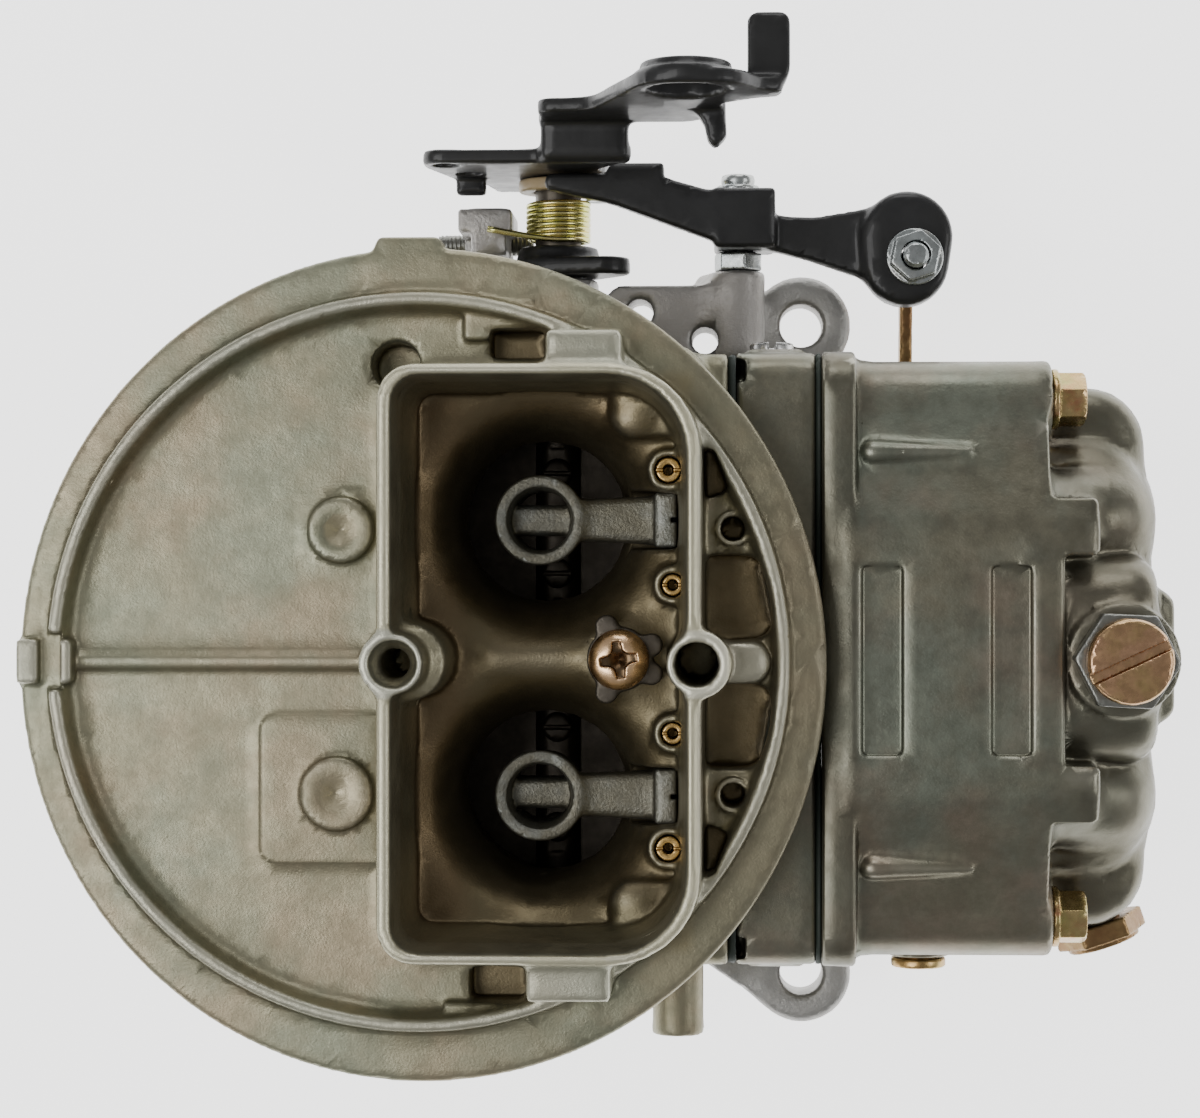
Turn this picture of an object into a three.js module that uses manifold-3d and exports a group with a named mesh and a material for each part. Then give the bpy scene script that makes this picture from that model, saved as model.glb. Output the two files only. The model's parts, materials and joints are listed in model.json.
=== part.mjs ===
// Two-barrel downdraft carburetor with a front fuel bowl. Millimetres, +Z up.
// Origin: centre of the mounting flange's bottom face, midway between the two bores.
// +X points to the fuel bowl, +Y to the throttle-lever side.
import * as THREE from "three";
import { mergeVertices } from "three/addons/utils/BufferGeometryUtils.js";
import Module from "manifold-3d";

const wasm = await Module();
wasm.setup();

// ---- driving dimensions ----
const BORE_Y = 25.4;
const BORE_R = 19.05;
const SHAFT_Z = 13;
const SHAFT_R = 4.7;
const BODY_TOP = 19;
const GASKET = 1.5;
const MAIN_Z = BODY_TOP + GASKET;
const FRONT_STUD_X = 49;
const REAR_STUD_X = -36;
const STUD_Y = 65.5;
const STUD_R = 4.35;
const DISC_X = -21.5;
const RIM_X = -20.45;
const RIM_Y = -0.6;
const RIM_R = 73.8;
const RIM_SQUASH = 0.971;
const DISC_Z = 84;
const LIP_R = 65.1;
const LIP_Z = 86.5;
const DISC_FLOOR = 82;
const HORN_X0 = -27;
const HORN_X1 = 29.3;
const HORN_Y = 52.1;
const HORN_WALL = 2.4;
const HORN_Z = 97;
const HORN_FLOOR = 67;
const BELL_R = 23.2;
const THROAT_R = 15.2;
const FRONT_FACE = 34;
const BLOCK_X0 = 35.5;
const BLOCK_X1 = 50;
const BOWL_X0 = 51;
const BOWL_Y = 56;
const SCREW_Y = 47.6;
const SCREW_Z = [24, 60];
const SEAT_X = 105.2;
const PIN_X = 110.5;
const PIN_Z = 46;
const PUMP_X = 70.5;
const PUMP_Y = 18;
const PUMP_PIVOT_X = 36.2;
const PUMP_PIVOT_Z = 16;
const PUMP_ANGLE = 8;
const OPEN_ANGLE = 75;
const CAM_R = 8;
const BOLT_X = 70.8;
const BOLT_Y = 77.6;
const GAP = 0.3;

// ---- materials ----
const finish = (color, metalness, roughness) =>
  new THREE.MeshStandardMaterial({ color, metalness, roughness });
const OLIVE = finish(0x8a8262, 0.7, 0.45);
const BARE = finish(0x9a9a98, 0.75, 0.5);
const GREY = finish(0x6e6c60, 0.7, 0.45);
const ZINC = finish(0x8f949a, 0.8, 0.35);
const BLACK = finish(0x17181a, 0.2, 0.4);
const BRASS = finish(0xb08a3c, 0.85, 0.3);
const GOLD = finish(0xb8a04a, 0.85, 0.3);
const BRONZE = finish(0x8a6a38, 0.8, 0.4);
const PAPER = finish(0x25302a, 0, 0.8);
const RUBBER = finish(0x1d1d1f, 0, 0.7);
const STEEL = finish(0xb5b8ba, 0.85, 0.3);
const TAN = finish(0xb89a70, 0, 0.5);
const FLOAT = finish(0x2a2622, 0, 0.7);

// ---- solids ----
function solid(geometry) {
  geometry.deleteAttribute("normal");
  geometry.deleteAttribute("uv");
  const merged = mergeVertices(geometry, 1e-4);
  return new wasm.Manifold(
    new wasm.Mesh({
      numProp: 3,
      vertProperties: merged.attributes.position.array,
      triVerts: new Uint32Array(merged.index.array),
    }),
  );
}

const join = (...bodies) => bodies.flat(Infinity).reduce((a, b) => a.add(b));
const cut = (body, ...tools) => tools.flat(Infinity).reduce((a, b) => a.subtract(b), body);

function block(x0, x1, y0, y1, z0, z1) {
  const g = new THREE.BoxGeometry(x1 - x0, y1 - y0, z1 - z0);
  return solid(g.translate((x0 + x1) / 2, (y0 + y1) / 2, (z0 + z1) / 2));
}

const sidesFor = (r) => 4 * Math.ceil(Math.sqrt(r) + 0.55);

// A round bar along an axis; a and b are the other two coordinates in x, y, z order.
function rod(axis, r, from, to, a, b, sides = sidesFor(r), rEnd = r) {
  const g = new THREE.CylinderGeometry(rEnd, r, to - from, sides);
  const mid = (from + to) / 2;
  if (axis === "z") return solid(g.rotateX(Math.PI / 2).translate(a, b, mid));
  if (axis === "x") return solid(g.rotateZ(-Math.PI / 2).translate(mid, a, b));
  return solid(g.translate(a, mid, b));
}

// Corner points [u, v, radius]; a radius turns the corner into an arc.
function rounded(corners) {
  const out = [];
  corners.forEach(([u, v, r = 0], i) => {
    const p = new THREE.Vector2(u, v);
    if (r === 0) return out.push(p);
    const prev = corners.at(i - 1);
    const next = corners[(i + 1) % corners.length];
    const a = new THREE.Vector2(prev[0], prev[1]).sub(p).normalize();
    const b = new THREE.Vector2(next[0], next[1]).sub(p).normalize();
    const half = Math.acos(a.dot(b)) / 2;
    const centre = a.clone().add(b).normalize().multiplyScalar(r / Math.sin(half)).add(p);
    const start = a.clone().multiplyScalar(r / Math.tan(half)).add(p).sub(centre).angle();
    const end = b.clone().multiplyScalar(r / Math.tan(half)).add(p).sub(centre).angle();
    let sweep = end - start;
    if (sweep > Math.PI) sweep -= 2 * Math.PI;
    if (sweep < -Math.PI) sweep += 2 * Math.PI;
    const steps = Math.max(2, Math.ceil(Math.abs(sweep) / 0.7));
    for (let k = 0; k <= steps; k++) {
      const t = start + (sweep * k) / steps;
      out.push(new THREE.Vector2(centre.x + r * Math.cos(t), centre.y + r * Math.sin(t)));
    }
  });
  return out;
}

// The outline round two circles and the tangents between them.
function link(u1, v1, r1, u2, v2, r2, step = 0.7) {
  const along = Math.atan2(v2 - v1, u2 - u1);
  const lean = Math.acos((r1 - r2) / Math.hypot(u2 - u1, v2 - v1));
  const out = [];
  const arc = (u, v, r, t0, t1) => {
    const steps = Math.max(2, Math.ceil((t1 - t0) / step));
    for (let k = 0; k <= steps; k++) {
      const t = t0 + ((t1 - t0) * k) / steps;
      out.push(new THREE.Vector2(u + r * Math.cos(t), v + r * Math.sin(t)));
    }
  };
  arc(u1, v1, r1, along + lean, along + 2 * Math.PI - lean);
  arc(u2, v2, r2, along - lean, along + lean);
  return out;
}

// Extrudes an outline along an axis: (x, y) along z, (y, z) along x, (x, z) along y.
function prism(axis, points, from, to) {
  const turned = axis === "y" ? points.map((p) => new THREE.Vector2(p.y, p.x)) : points;
  const shape = new THREE.Shape(turned);
  const g = new THREE.ExtrudeGeometry(shape, { depth: to - from, bevelEnabled: false });
  g.translate(0, 0, from);
  const m = new THREE.Matrix4();
  if (axis === "x") m.set(0, 0, 1, 0, 1, 0, 0, 0, 0, 1, 0, 0, 0, 0, 0, 1);
  if (axis === "y") m.set(0, 1, 0, 0, 0, 0, 1, 0, 1, 0, 0, 0, 0, 0, 0, 1);
  return solid(g.applyMatrix4(m));
}

// A prism along z whose section is narrowed by "draft" on every side at its lower end.
function drafted(x0, x1, y0, y1, radii, z0, z1, draft) {
  const [a, b, c, d] = radii;
  const outline = rounded([[x0, y0, a], [x1, y0, b], [x1, y1, c], [x0, y1, d]]);
  const shape = new THREE.Shape(outline);
  const g = new THREE.ExtrudeGeometry(shape, { depth: z1 - z0, bevelEnabled: false });
  const p = g.attributes.position;
  const cx = (x0 + x1) / 2;
  const cy = (y0 + y1) / 2;
  const kx = 1 - (2 * draft) / (x1 - x0);
  const ky = 1 - (2 * draft) / (y1 - y0);
  for (let i = 0; i < p.count; i++) {
    if (p.getZ(i) > 1e-6) continue;
    p.setXY(i, cx + (p.getX(i) - cx) * kx, cy + (p.getY(i) - cy) * ky);
  }
  return solid(g.translate(0, 0, z0));
}

// Turns a closed profile [radius, z] round a vertical axis at (x, y), narrowed along x by "squash".
function spin(profile, x, y, sides = 40, squash = 1) {
  const points = profile.map(([r, z]) => new THREE.Vector2(r, z));
  const g = new THREE.LatheGeometry(points, sides);
  return solid(g.rotateX(Math.PI / 2).scale(squash, 1, 1).translate(x, y, 0));
}

function tube(points, r, steps, sides = 5) {
  const circle = new THREE.Shape();
  const ring = [];
  for (let k = 0; k < sides; k++) {
    const t = (2 * Math.PI * k) / sides;
    ring.push(new THREE.Vector2(r * Math.cos(t), r * Math.sin(t)));
  }
  circle.setFromPoints(ring);
  const path = new THREE.CatmullRomCurve3(points.map((p) => new THREE.Vector3(...p)));
  return solid(new THREE.ExtrudeGeometry(circle, { steps, extrudePath: path, bevelEnabled: false }));
}

const carburetor = new THREE.Group();

function add(name, body, material) {
  const made = body.getMesh();
  const g = new THREE.BufferGeometry();
  g.setAttribute("position", new THREE.BufferAttribute(made.vertProperties, 3));
  g.setIndex(new THREE.BufferAttribute(made.triVerts, 1));
  g.computeVertexNormals();
  const mesh = new THREE.Mesh(g, material);
  mesh.name = name;
  carburetor.add(mesh);
}

const both = (make) => [1, -1].map(make);

// ---- throttle body ----
const bodyScrews = [[-25, 50], [27, 50], [-25, -50], [27, -50]];

function throttleBody() {
  const base = rounded([[-31, -58, 12], [34, -58, 8], [34, 58, 8], [-31, 58, 12]]);
  const plate = rounded([[9, 54], [35, 54], [35, 73, 5], [9, 73, 3]]);
  const parts = [
    prism("z", base, 0, BODY_TOP),
    prism("z", plate, 2, BODY_TOP),
    prism("y", link(0, SHAFT_Z, 8, 0, 8.5, 8), 57.5, 74.5),
    prism("y", link(0, SHAFT_Z, 7.5, 0, 8.5, 7.5), -63.5, -57.5),
    prism("y", link(PUMP_PIVOT_X, PUMP_PIVOT_Z, 5.2, 33, 8, 5), 58, 75.7),
    prism("z", link(24, -50, 9, FRONT_STUD_X, -STUD_Y, 9.4), 0, 10),
    prism("z", link(30, -36, 4, FRONT_STUD_X, -STUD_Y, 9.4), 0, 10),
    prism("z", link(30, 52, 9, FRONT_STUD_X, STUD_Y, 9.2), 0, 10),
    prism("z", link(30, 36, 4, FRONT_STUD_X, STUD_Y, 9.2), 0, 10),
    both((s) => prism("z", link(-22, s * 46, 10, REAR_STUD_X, s * STUD_Y, 9.2), 0, 10)),
    block(-19.5, -10, 52, 86, 1.5, 9),
    block(-19.8, -9, 78.9, 88.3, 1.5, 20),
  ];
  const holes = [
    both((s) => rod("z", BORE_R, -1, 30, 0, s * BORE_Y)),
    both((s) => rod("z", STUD_R, -1, 30, FRONT_STUD_X, s * STUD_Y)),
    both((s) => rod("z", STUD_R, -1, 30, REAR_STUD_X, s * STUD_Y)),
    rod("y", SHAFT_R + GAP, -80, 80, 0, SHAFT_Z),
    rod("z", 2.7, -1, 30, 16.6, 67.6),
    rod("z", 2.7, -1, 30, 29.6, 62),
    rod("y", 3.3, 62, 80, PUMP_PIVOT_X, PUMP_PIVOT_Z),
    rod("x", 2.6, -30, 0, 82.5, 5),
    block(-30, -17, 70, 78.9, 1, 30),
    bodyScrews.map(([x, y]) => rod("z", 2.9, -1, 30, x, y)),
    bodyScrews.map(([x, y]) => rod("z", 4.9, -1, 5, x, y)),
  ];
  return cut(join(parts), holes);
}
add("throttle_body", throttleBody(), BARE);

const gasketOutline = rounded([[-31, -57, 12], [33, -57, 8], [33, 57, 8], [-31, 57, 12]]);
add(
  "throttle_body_gasket",
  cut(
    prism("z", gasketOutline, BODY_TOP, MAIN_Z),
    both((s) => rod("z", BORE_R + 0.6, 0, 30, 0, s * BORE_Y)),
    bodyScrews.map(([x, y]) => rod("z", 2.9, 0, 30, x, y)),
  ),
  PAPER,
);

bodyScrews.forEach(([x, y], i) => {
  const screw = cut(
    join(rod("z", 4.4, 1.2, 5, x, y), rod("z", 2.4, 4, 27, x, y)),
    block(x - 5, x + 5, y - 0.6, y + 0.6, 0, 2.4),
  );
  add(`body_screw_${i + 1}`, screw, ZINC);
});

// ---- main body ----
const bleeds = [[23.2, 34.4, 2.3], [24, 13.5, 2], [23.2, -34.4, 2.3], [24, -13.5, 2]];
const nozzleX = 14.3;

function disc() {
  const plate = [
    [0, 77.5], [56, 77.5], [65, 78.5], [RIM_R - 1, 79], [RIM_R, 80], [RIM_R, DISC_Z], [0, DISC_Z],
  ];
  const lip = [
    [0, 80], [LIP_R + 0.4, 80], [LIP_R + 0.4, DISC_Z], [LIP_R, LIP_Z], [LIP_R - 1.6, LIP_Z],
    [LIP_R - 2.6, DISC_FLOOR + 1], [LIP_R - 4, DISC_FLOOR], [0, DISC_FLOOR],
  ];
  const rim = cut(spin(plate, RIM_X, RIM_Y, 52, RIM_SQUASH), rod("z", LIP_R - 1, 81, 90, DISC_X, 0, 52));
  return join(rim, spin(lip, DISC_X, 0, 52));
}

function bell(s) {
  const profile = [
    [0, MAIN_Z - 1], [BORE_R, MAIN_Z - 1], [BORE_R, 33], [THROAT_R + 1.2, 41], [THROAT_R, 47],
    [THROAT_R, 51], [THROAT_R + 1.2, 57], [THROAT_R + 4.2, 63.5], [BELL_R, HORN_FLOOR + 0.5],
    [0, HORN_FLOOR + 0.5],
  ];
  return spin(profile, 0, s * BORE_Y, 24);
}

function mainBody() {
  const lower = rounded([[-31, -57, 12], [31, -57, 8], [31, 57, 8], [-31, 57, 12]]);
  const flange = rounded([[-55.5, 22, 3], [55.5, 22, 3], [55.5, 72, 3], [-55.5, 72, 3]]);
  const crescent = rounded([[26, -43, 3], [35, -43, 3], [43.5, 0, 30], [35, 43, 3], [26, 43, 3]]);
  const kidney = (s) =>
    rounded([[30.6, s * 3.6, 1], [41, s * 4.4, 2.5], [38, s * 18.6, 4], [30.6, s * 18.6, 1]]);
  const wedge = (s) => rounded([[30.5, s * 28.6, 0.8], [34.8, s * 30, 0.8], [30.5, s * 38, 0.6]]);
  const tab = rounded([[-31, 66], [-14, 66], [-16.9, 75.5, 1.5], [-28.4, 75.5, 1.5]]);
  const slot = (x0, x1, y0, y1) => block(x0, x1, y0, y1, 72, 95);
  const horn = drafted(HORN_X0, HORN_X1, -HORN_Y, HORN_Y, [6.5, 16, 16, 6.5], 70, HORN_Z, -0.6);
  const solids = [
    prism("z", lower, MAIN_Z, 78),
    prism("x", flange, 28, FRONT_FACE),
    disc(),
    prism("z", tab, 79, DISC_Z),
    prism("z", crescent, 71, DISC_FLOOR),
    horn,
    block(2.3, 15.4, 50, 58, 80, 95.5),
    block(-1.1, 13.6, -58.8, -50, 80, 95.5),
    rod("z", 5.85, 66, HORN_Z, -24.1, 0),
    rod("z", 5.9, 71, HORN_Z, 28.6, 0),
    prism("z", link(28.6, 0, 4.6, 40, 0, 2.6), 80, 88),
    prism("z", rounded([[-92.5, -4], [-82.5, -4, 1], [-82.5, 4, 1], [-92.5, 4]]), 82, 87),
    prism("x", rounded([[-1.8, 80], [1.8, 80], [1.8, 83.6, 1.4], [-1.8, 83.6, 1.4]]), -84, -27),
    rod("z", 5.9, 80, 84.5, -34.8, 23.4),
    rod("z", 6.6, 80, 84.5, -35.5, -23.5),
    prism("z", rounded([[-49.4, -36, 3], [-30, -36], [-30, -9.5], [-49.4, -9.5, 3]]), 80, 82.8),
    block(-12.8, 0, 57, 64.6, 79, 84.5),
    block(-16.4, 11.4, -65, -60.4, 79, 84.5),
    rod("z", 6, 66, 80, -25.1, 52.7),
    both((s) => block(-14, 5, Math.min(s * 54, s * 62), Math.max(s * 54, s * 62), 66, 80)),
    both((s) => rod("z", 4.9, 72, 82.5, 34.9, s * 23.6)),
    both((s) => rod("z", 3.2, 80, 84, 34.9, s * 23.6)),
    rod("y", 5.05, -73.7, -54, 24.5, 36),
    both((s) => prism("x", rounded([[s * 12, 77.8], [s * 20, 77.8], [s * 20, 62]]), -29, -28)),
    [-20, 0, 20].map((y) => prism("y", rounded([[-58, 78], [-30, 78], [-30, 44]]), y - 2, y + 2)),
  ];
  const cavity = drafted(
    HORN_X0 + HORN_WALL, HORN_X1 - HORN_WALL, -HORN_Y + 1.8, HORN_Y - 1.8,
    [5, 14, 14, 5], HORN_FLOOR, HORN_Z + 1, 1.9,
  );
  const holes = [
    both(kidney).map((o) => prism("z", o, 73.5, 90)),
    both(wedge).map((o) => prism("z", o, 73.5, 90)),
    both((s) => rod("z", 2.2, 72.5, 90, 34.9, s * 23.6)),
    cut(rod("z", 4.4, 72, 90, -25.1, 52.7), horn),
    slot(-8.2, 1.5, 53.8, 59),
    slot(-11.8, -2, -60.4, -54.4),
    rod("z", 2.7, 83, 90, -34.8, 23.4),
    rod("z", 3.5, 83, 90, -35.5, -23.5),
    block(-88.5, -84.5, -5, 5, 84.5, 90),
    rod("y", 3.1, -75, -60, 24.5, 36),
    bodyScrews.map(([x, y]) => rod("z", 2.7, MAIN_Z - 1, 28, x, y)),
    both((s) => SCREW_Z.map((z) => rod("x", 3.3, 30.5, 40, s * SCREW_Y, z))),
  ];
  const shell = cut(join(solids), cavity, both(bell), holes);
  const inside = [
    rod("z", 5.85, 60, HORN_Z, -24.1, 0),
    prism("z", link(-24.1, 0, 5.85, -19.5, 0, 3), 60, 84),
    rod("z", 5.3, 60, HORN_Z, 28.6, 0),
    bleeds.map(([x, y, r]) => rod("z", r + 1.5, 60, 70.5, x, y)),
    both((s) => prism("z", rounded([[13, s * 40.5, 2], [25.5, s * 40.5], [25.5, s * 49], [13, s * 49]]), 62, 70)),
    both((s) => block(20.5, 27, s * BORE_Y - 6, s * BORE_Y + 6, 40, 56)),
    rod("z", 6.4, 58, 67.5, nozzleX, 0),
    block(0, 14, -4, 4, 58, 66),
  ];
  const bored = [
    rod("z", 2.7, 66, 99, -24.1, 0),
    rod("z", 4.1, 93, 99, -24.1, 0, 20, 4.3),
    rod("z", 3.9, 64, 99, 28.6, 0),
    bleeds.map(([x, y, r]) => rod("z", r + GAP, 64.5, 75, x, y)),
    rod("z", 2.9, 54, 75, nozzleX, 0),
    both((s) => rod("z", THROAT_R, 40, 62, 0, s * BORE_Y)),
    both((s) => block(12, 24.9, s * BORE_Y - 5.4, s * BORE_Y + 5.4, 56, 70)),
  ];
  return cut(join(shell, inside), bored);
}
add("main_body", mainBody(), OLIVE);

both((s) => s).forEach((s) => {
  const y = s * BORE_Y;
  const side = s > 0 ? "l" : "r";
  const ring = join(
    rod("z", 7.95, 46, 64, 0, y),
    block(6, 22.5, y - 4, y + 4, 57.5, 63.5),
    block(20.8, 24.6, y - 5.1, y + 5.1, 56 + GAP, 65.5),
  );
  const booster = join(cut(ring, rod("z", 5.8, 40, 70, 0, y)), block(-7, 7, y - 2.8, y + 2.8, 50, 58));
  add(`booster_${side}`, booster, ZINC);
});

bleeds.forEach(([x, y, r], i) => {
  const jet = cut(rod("z", r, 65, 70.2, x, y), rod("z", 0.8, 60, 75, x, y));
  add(`air_bleed_${i + 1}`, jet, BRASS);
});

const nozzle = cut(
  join(
    rod("z", 6, 67.5 + GAP, 71.2, nozzleX, 0),
    both((s) => prism("z", link(nozzleX, 0, 3.4, 8.6, s * 7.4, 2.2), 68.4, 71.6)),
  ),
  rod("z", 3, 60, 75, nozzleX, 0),
);
add("discharge_nozzle", nozzle, ZINC);
const nozzleScrew = cut(
  join(
    spin([[0, 71.9], [5.4, 71.9], [5.4, 72.6], [4.2, 74], [2.4, 74.7], [0, 74.8]], nozzleX, 0, 16),
    rod("z", 2.4, 58, 72, nozzleX, 0),
  ),
  block(nozzleX - 2.6, nozzleX + 2.6, -0.5, 0.5, 73, 76),
  block(nozzleX - 0.5, nozzleX + 0.5, -2.6, 2.6, 73, 76),
);
add("nozzle_screw", nozzleScrew, GOLD);

// ---- metering block and its gasket ----
const blockHoles = (r, x0, x1) =>
  both((s) => SCREW_Z.map((z) => rod("x", r, x0, x1, s * SCREW_Y, z))).flat();
const blockFace = rounded([[-BOWL_Y, 14, 5], [BOWL_Y, 14, 5], [BOWL_Y, 70, 5], [-BOWL_Y, 70, 5]]);
add(
  "main_body_gasket",
  cut(
    prism("x", rounded([[-55.5, 22.5, 3], [55.5, 22.5, 3], [55.5, 70.5, 3], [-55.5, 70.5, 3]]), FRONT_FACE, BLOCK_X0),
    blockHoles(3.3, 30, 40),
    rod("x", 12, 30, 40, 0, 40),
  ),
  PAPER,
);

const jets = [[-14, 26], [14, 26]];
function meteringBlock() {
  const solids = [
    prism("x", blockFace, BLOCK_X0, BLOCK_X1),
    both((s) => rod("y", 6, Math.min(s * 54, s * 58), Math.max(s * 54, s * 58), 42.7, 30)),
  ];
  const holes = [
    blockHoles(3.3, 30, 55),
    both((s) => rod("y", 2.8, Math.min(s * 40, s * 60), Math.max(s * 40, s * 60), 42.7, 30, 12)),
    jets.map(([y, z]) => rod("x", 3.3, 40, 55, y, z)),
    rod("x", 10.5, 30, 44, 0, 40),
    rod("x", 6.5, 40, 55, 0, 40),
  ];
  return cut(join(solids), holes);
}
add("metering_block", meteringBlock(), GREY);

jets.forEach(([y, z], i) => {
  const jet = cut(
    join(rod("x", 4.6, BLOCK_X1 + GAP, 53.4, y, z, 6), rod("x", 3, 44, 51, y, z)),
    rod("x", 1, 40, 55, y, z),
    block(52.2, 54, y - 5, y + 5, z - 0.5, z + 0.5),
  );
  add(`main_jet_${i + 1}`, jet, BRASS);
});

const powerValve = cut(
  join(rod("x", 6.2, 44 + GAP, 51.5, 0, 40), rod("x", 9.8, 37, 43.7, 0, 40), rod("x", 5, 43, 45, 0, 40)),
  rod("x", 2, 39.5, 60, 0, 40),
);
add("power_valve", powerValve, BRASS);
add("power_valve_stem", join(rod("x", 1.6, 42, 54, 0, 40), rod("x", 3.2, 53, 54.5, 0, 40)), STEEL);

both((s) => s).forEach((s) => {
  const y0 = s * 44;
  const y1 = s * 62.5;
  const side = s > 0 ? "l" : "r";
  const screw = cut(
    join(
      rod("y", 2.5, Math.min(y0, y1), Math.max(y0, y1), 42.7, 30, 12),
      rod("y", 4.6, Math.min(s * 58.5, y1), Math.max(s * 58.5, y1), 42.7, 30, 14),
    ),
    block(42.1, 43.3, Math.min(s * 61.2, s * 64), Math.max(s * 61.2, s * 64), 24, 36),
  );
  add(`idle_mixture_screw_${side}`, screw, STEEL);
});

add(
  "bowl_gasket",
  cut(
    prism("x", blockFace, BLOCK_X1, BOWL_X0),
    blockHoles(3.3, 45, 55),
    prism("x", rounded([[-38, 17, 4], [38, 17, 4], [38, 64, 4], [-38, 64, 4]]), 45, 55),
  ),
  PAPER,
);

// ---- fuel bowl ----
// Carries a piece modelled along +Z onto the inlet boss, whose axis points down and outward.
function turned(body) {
  return body.rotate([90, 0, 0]).rotate([0, 0, 19]).translate([102.1, -43.2, 37]);
}

function bowlRoof(x0, x1, grow) {
  const y = 53.5 - grow;
  const z = 66 - grow;
  const top = 75 - grow;
  return prism(
    "x",
    rounded([[-y, 8 + grow, 5], [y, 8 + grow, 5], [y, z, 5], [24, top, 6], [-24, top, 6], [-y, z, 5]]),
    x0,
    x1,
  );
}

function fuelBowl() {
  const nose = rounded([[88, -40], [108, -40, 8], [112.4, -20, 6], [112.4, 20, 6], [108, 40, 8], [88, 40]]);
  const shelf = rounded([
    [88, -50.5], [111.8, -50.5, 10], [112.2, -36, 6], [114.3, -27, 5], [112.4, -17, 4],
    [112.4, 17, 4], [114.3, 27, 5], [112.2, 36, 6], [111.8, 50.5, 10], [88, 50.5],
  ]);
  const solids = [
    prism("x", rounded([[-BOWL_Y, 14, 5], [BOWL_Y, 14, 5], [BOWL_Y, 74.5, 7], [-BOWL_Y, 74.5, 7]]), BOWL_X0, 57.2),
    bowlRoof(55, 92.2, 0),
    prism("z", nose, 14, 60),
    prism("z", shelf, 32, 53),
    prism("x", rounded([[-20, 40, 2], [20, 40, 2], [20, 72, 12], [-20, 72, 12]]), 90, 111),
    both((s) => prism("x", rounded([[s * 17, 50], [s * 31, 50], [s * 31, 66, 6], [s * 17, 66]]), 90, 109.5)),
    prism("z", rounded([[88, -11.6, 1], [116, -11.6, 3], [116, 12.4, 3], [88, 12.4, 1]]), 30, 62),
    rod("z", 10.2, 60, 73, SEAT_X, 0),
    prism("z", link(102.1, -43.2, 8, 100.3, -38, 8), 30, 45),
    rod("y", 5.8, -57.5, -50, PUMP_X, 40),
    both((s) => prism("x", link(s * 38, 69.6, 2.6, s * 38, 60, 2.6), 56, 72)),
    rod("z", 21, 4, 10, PUMP_X, PUMP_Y),
    both((s) => SCREW_Z.map((z) => rod("x", 7, 55, 93, s * SCREW_Y, z))).flat(),
  ];
  const panels = [[58.1, 65.3], [81.4, 88.4]].map(([a, b]) => block(a, b, -17, 17, 74.4, 80));
  const inner = rounded([[85, -37], [103, -37, 6], [108.5, -18, 4], [108.5, 18, 4], [103, 37, 6], [85, 37]]);
  const holes = [
    prism("x", rounded([[-38, 12, 4], [38, 12, 4], [38, 64, 4], [20, 66.5, 5], [-20, 66.5, 5], [-38, 64, 4]]), 50, 89),
    prism("z", inner, 26, 56),
    block(100, 114, -6.5, 6.5, 34, 58),
    rod("z", 7.2, 50, 80, SEAT_X, 0),
    both((s) => SCREW_Z.map((z) => rod("x", 3.3, 50, 100, s * SCREW_Y, z))).flat(),
    rod("y", 4.2, -60, -30, PUMP_X, 40),
    rod("z", 17, 3, 9, PUMP_X, PUMP_Y),
    rod("z", 2, 8, 14, PUMP_X, PUMP_Y),
    turned(rod("z", 4.8, -11, 14, 0, 0)),
    rod("y", 1.8, -9.5, 9.5, PIN_X, PIN_Z),
  ];
  return cut(join(solids), panels, holes);
}
add("fuel_bowl", fuelBowl(), GREY);

both((s) => s).forEach((s) => {
  SCREW_Z.forEach((z) => {
    const y = s * SCREW_Y;
    const screw = join(
      rod("x", 3, 31, 94, y, z),
      rod("x", 5.6, 93 + GAP, 94.6, y, z),
      rod("x", 5, 94.6, 99.7, y, z, 6, 4.9),
    );
    add(`bowl_screw_${s > 0 ? "l" : "r"}_${z > 40 ? "top" : "low"}`, screw, GOLD);
  });
});

// ---- float, needle and seat ----
function floatBody() {
  const pontoon = rounded([[60, -27, 6], [86, -27, 6], [86, 27, 6], [60, 27, 6]]);
  const solids = [
    prism("z", pontoon, 21, 37),
    prism("y", link(PIN_X, PIN_Z, 3, 84, 34, 3), -3.2, 3.2),
    block(103.4, 107, -3.2, 3.2, 42, 47.4),
  ];
  return cut(join(solids), rod("y", 1.8, -5, 5, PIN_X, PIN_Z));
}
add("float", floatBody(), FLOAT);
add("float_pin", rod("y", 1.5, -9, 9, PIN_X, PIN_Z), STEEL);
const needle = join(
  rod("z", 1.6, 47.8, 54, SEAT_X, 0),
  rod("z", 1.6, 54, 57, SEAT_X, 0, 12, 0.3),
);
add("inlet_needle", needle, STEEL);
const seat = cut(
  join(rod("z", 5, 50.2, 76.5, SEAT_X, 0), rod("z", 6.9, 66, 72, SEAT_X, 0)),
  rod("z", 2.1, 45, 78, SEAT_X, 0),
  rod("x", 1.6, 90, 120, 0, 62),
);
add("needle_seat", seat, BRASS);
const nut = cut(rod("z", 9.6, 73, 77.6, SEAT_X, 0, 6).translate([-SEAT_X, 0, 0])
  .rotate([0, 0, 23]).translate([SEAT_X, 0, 0]), rod("z", 5 + GAP, 70, 80, SEAT_X, 0));
add("adjusting_nut", nut, ZINC);
const lockScrew = cut(
  join(
    spin([[0, 77.9], [7.7, 77.9], [7.7, 81.4], [7, 82], [0, 82]], 0, 0, 32),
    rod("z", 1.8, 69, 78, 0, 0),
  ),
  block(-9, 9, -0.9, 0.9, 80, 84),
);
add("lock_screw", lockScrew.rotate([0, 0, 25]).translate([SEAT_X, 0, 0]), GOLD);
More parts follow.
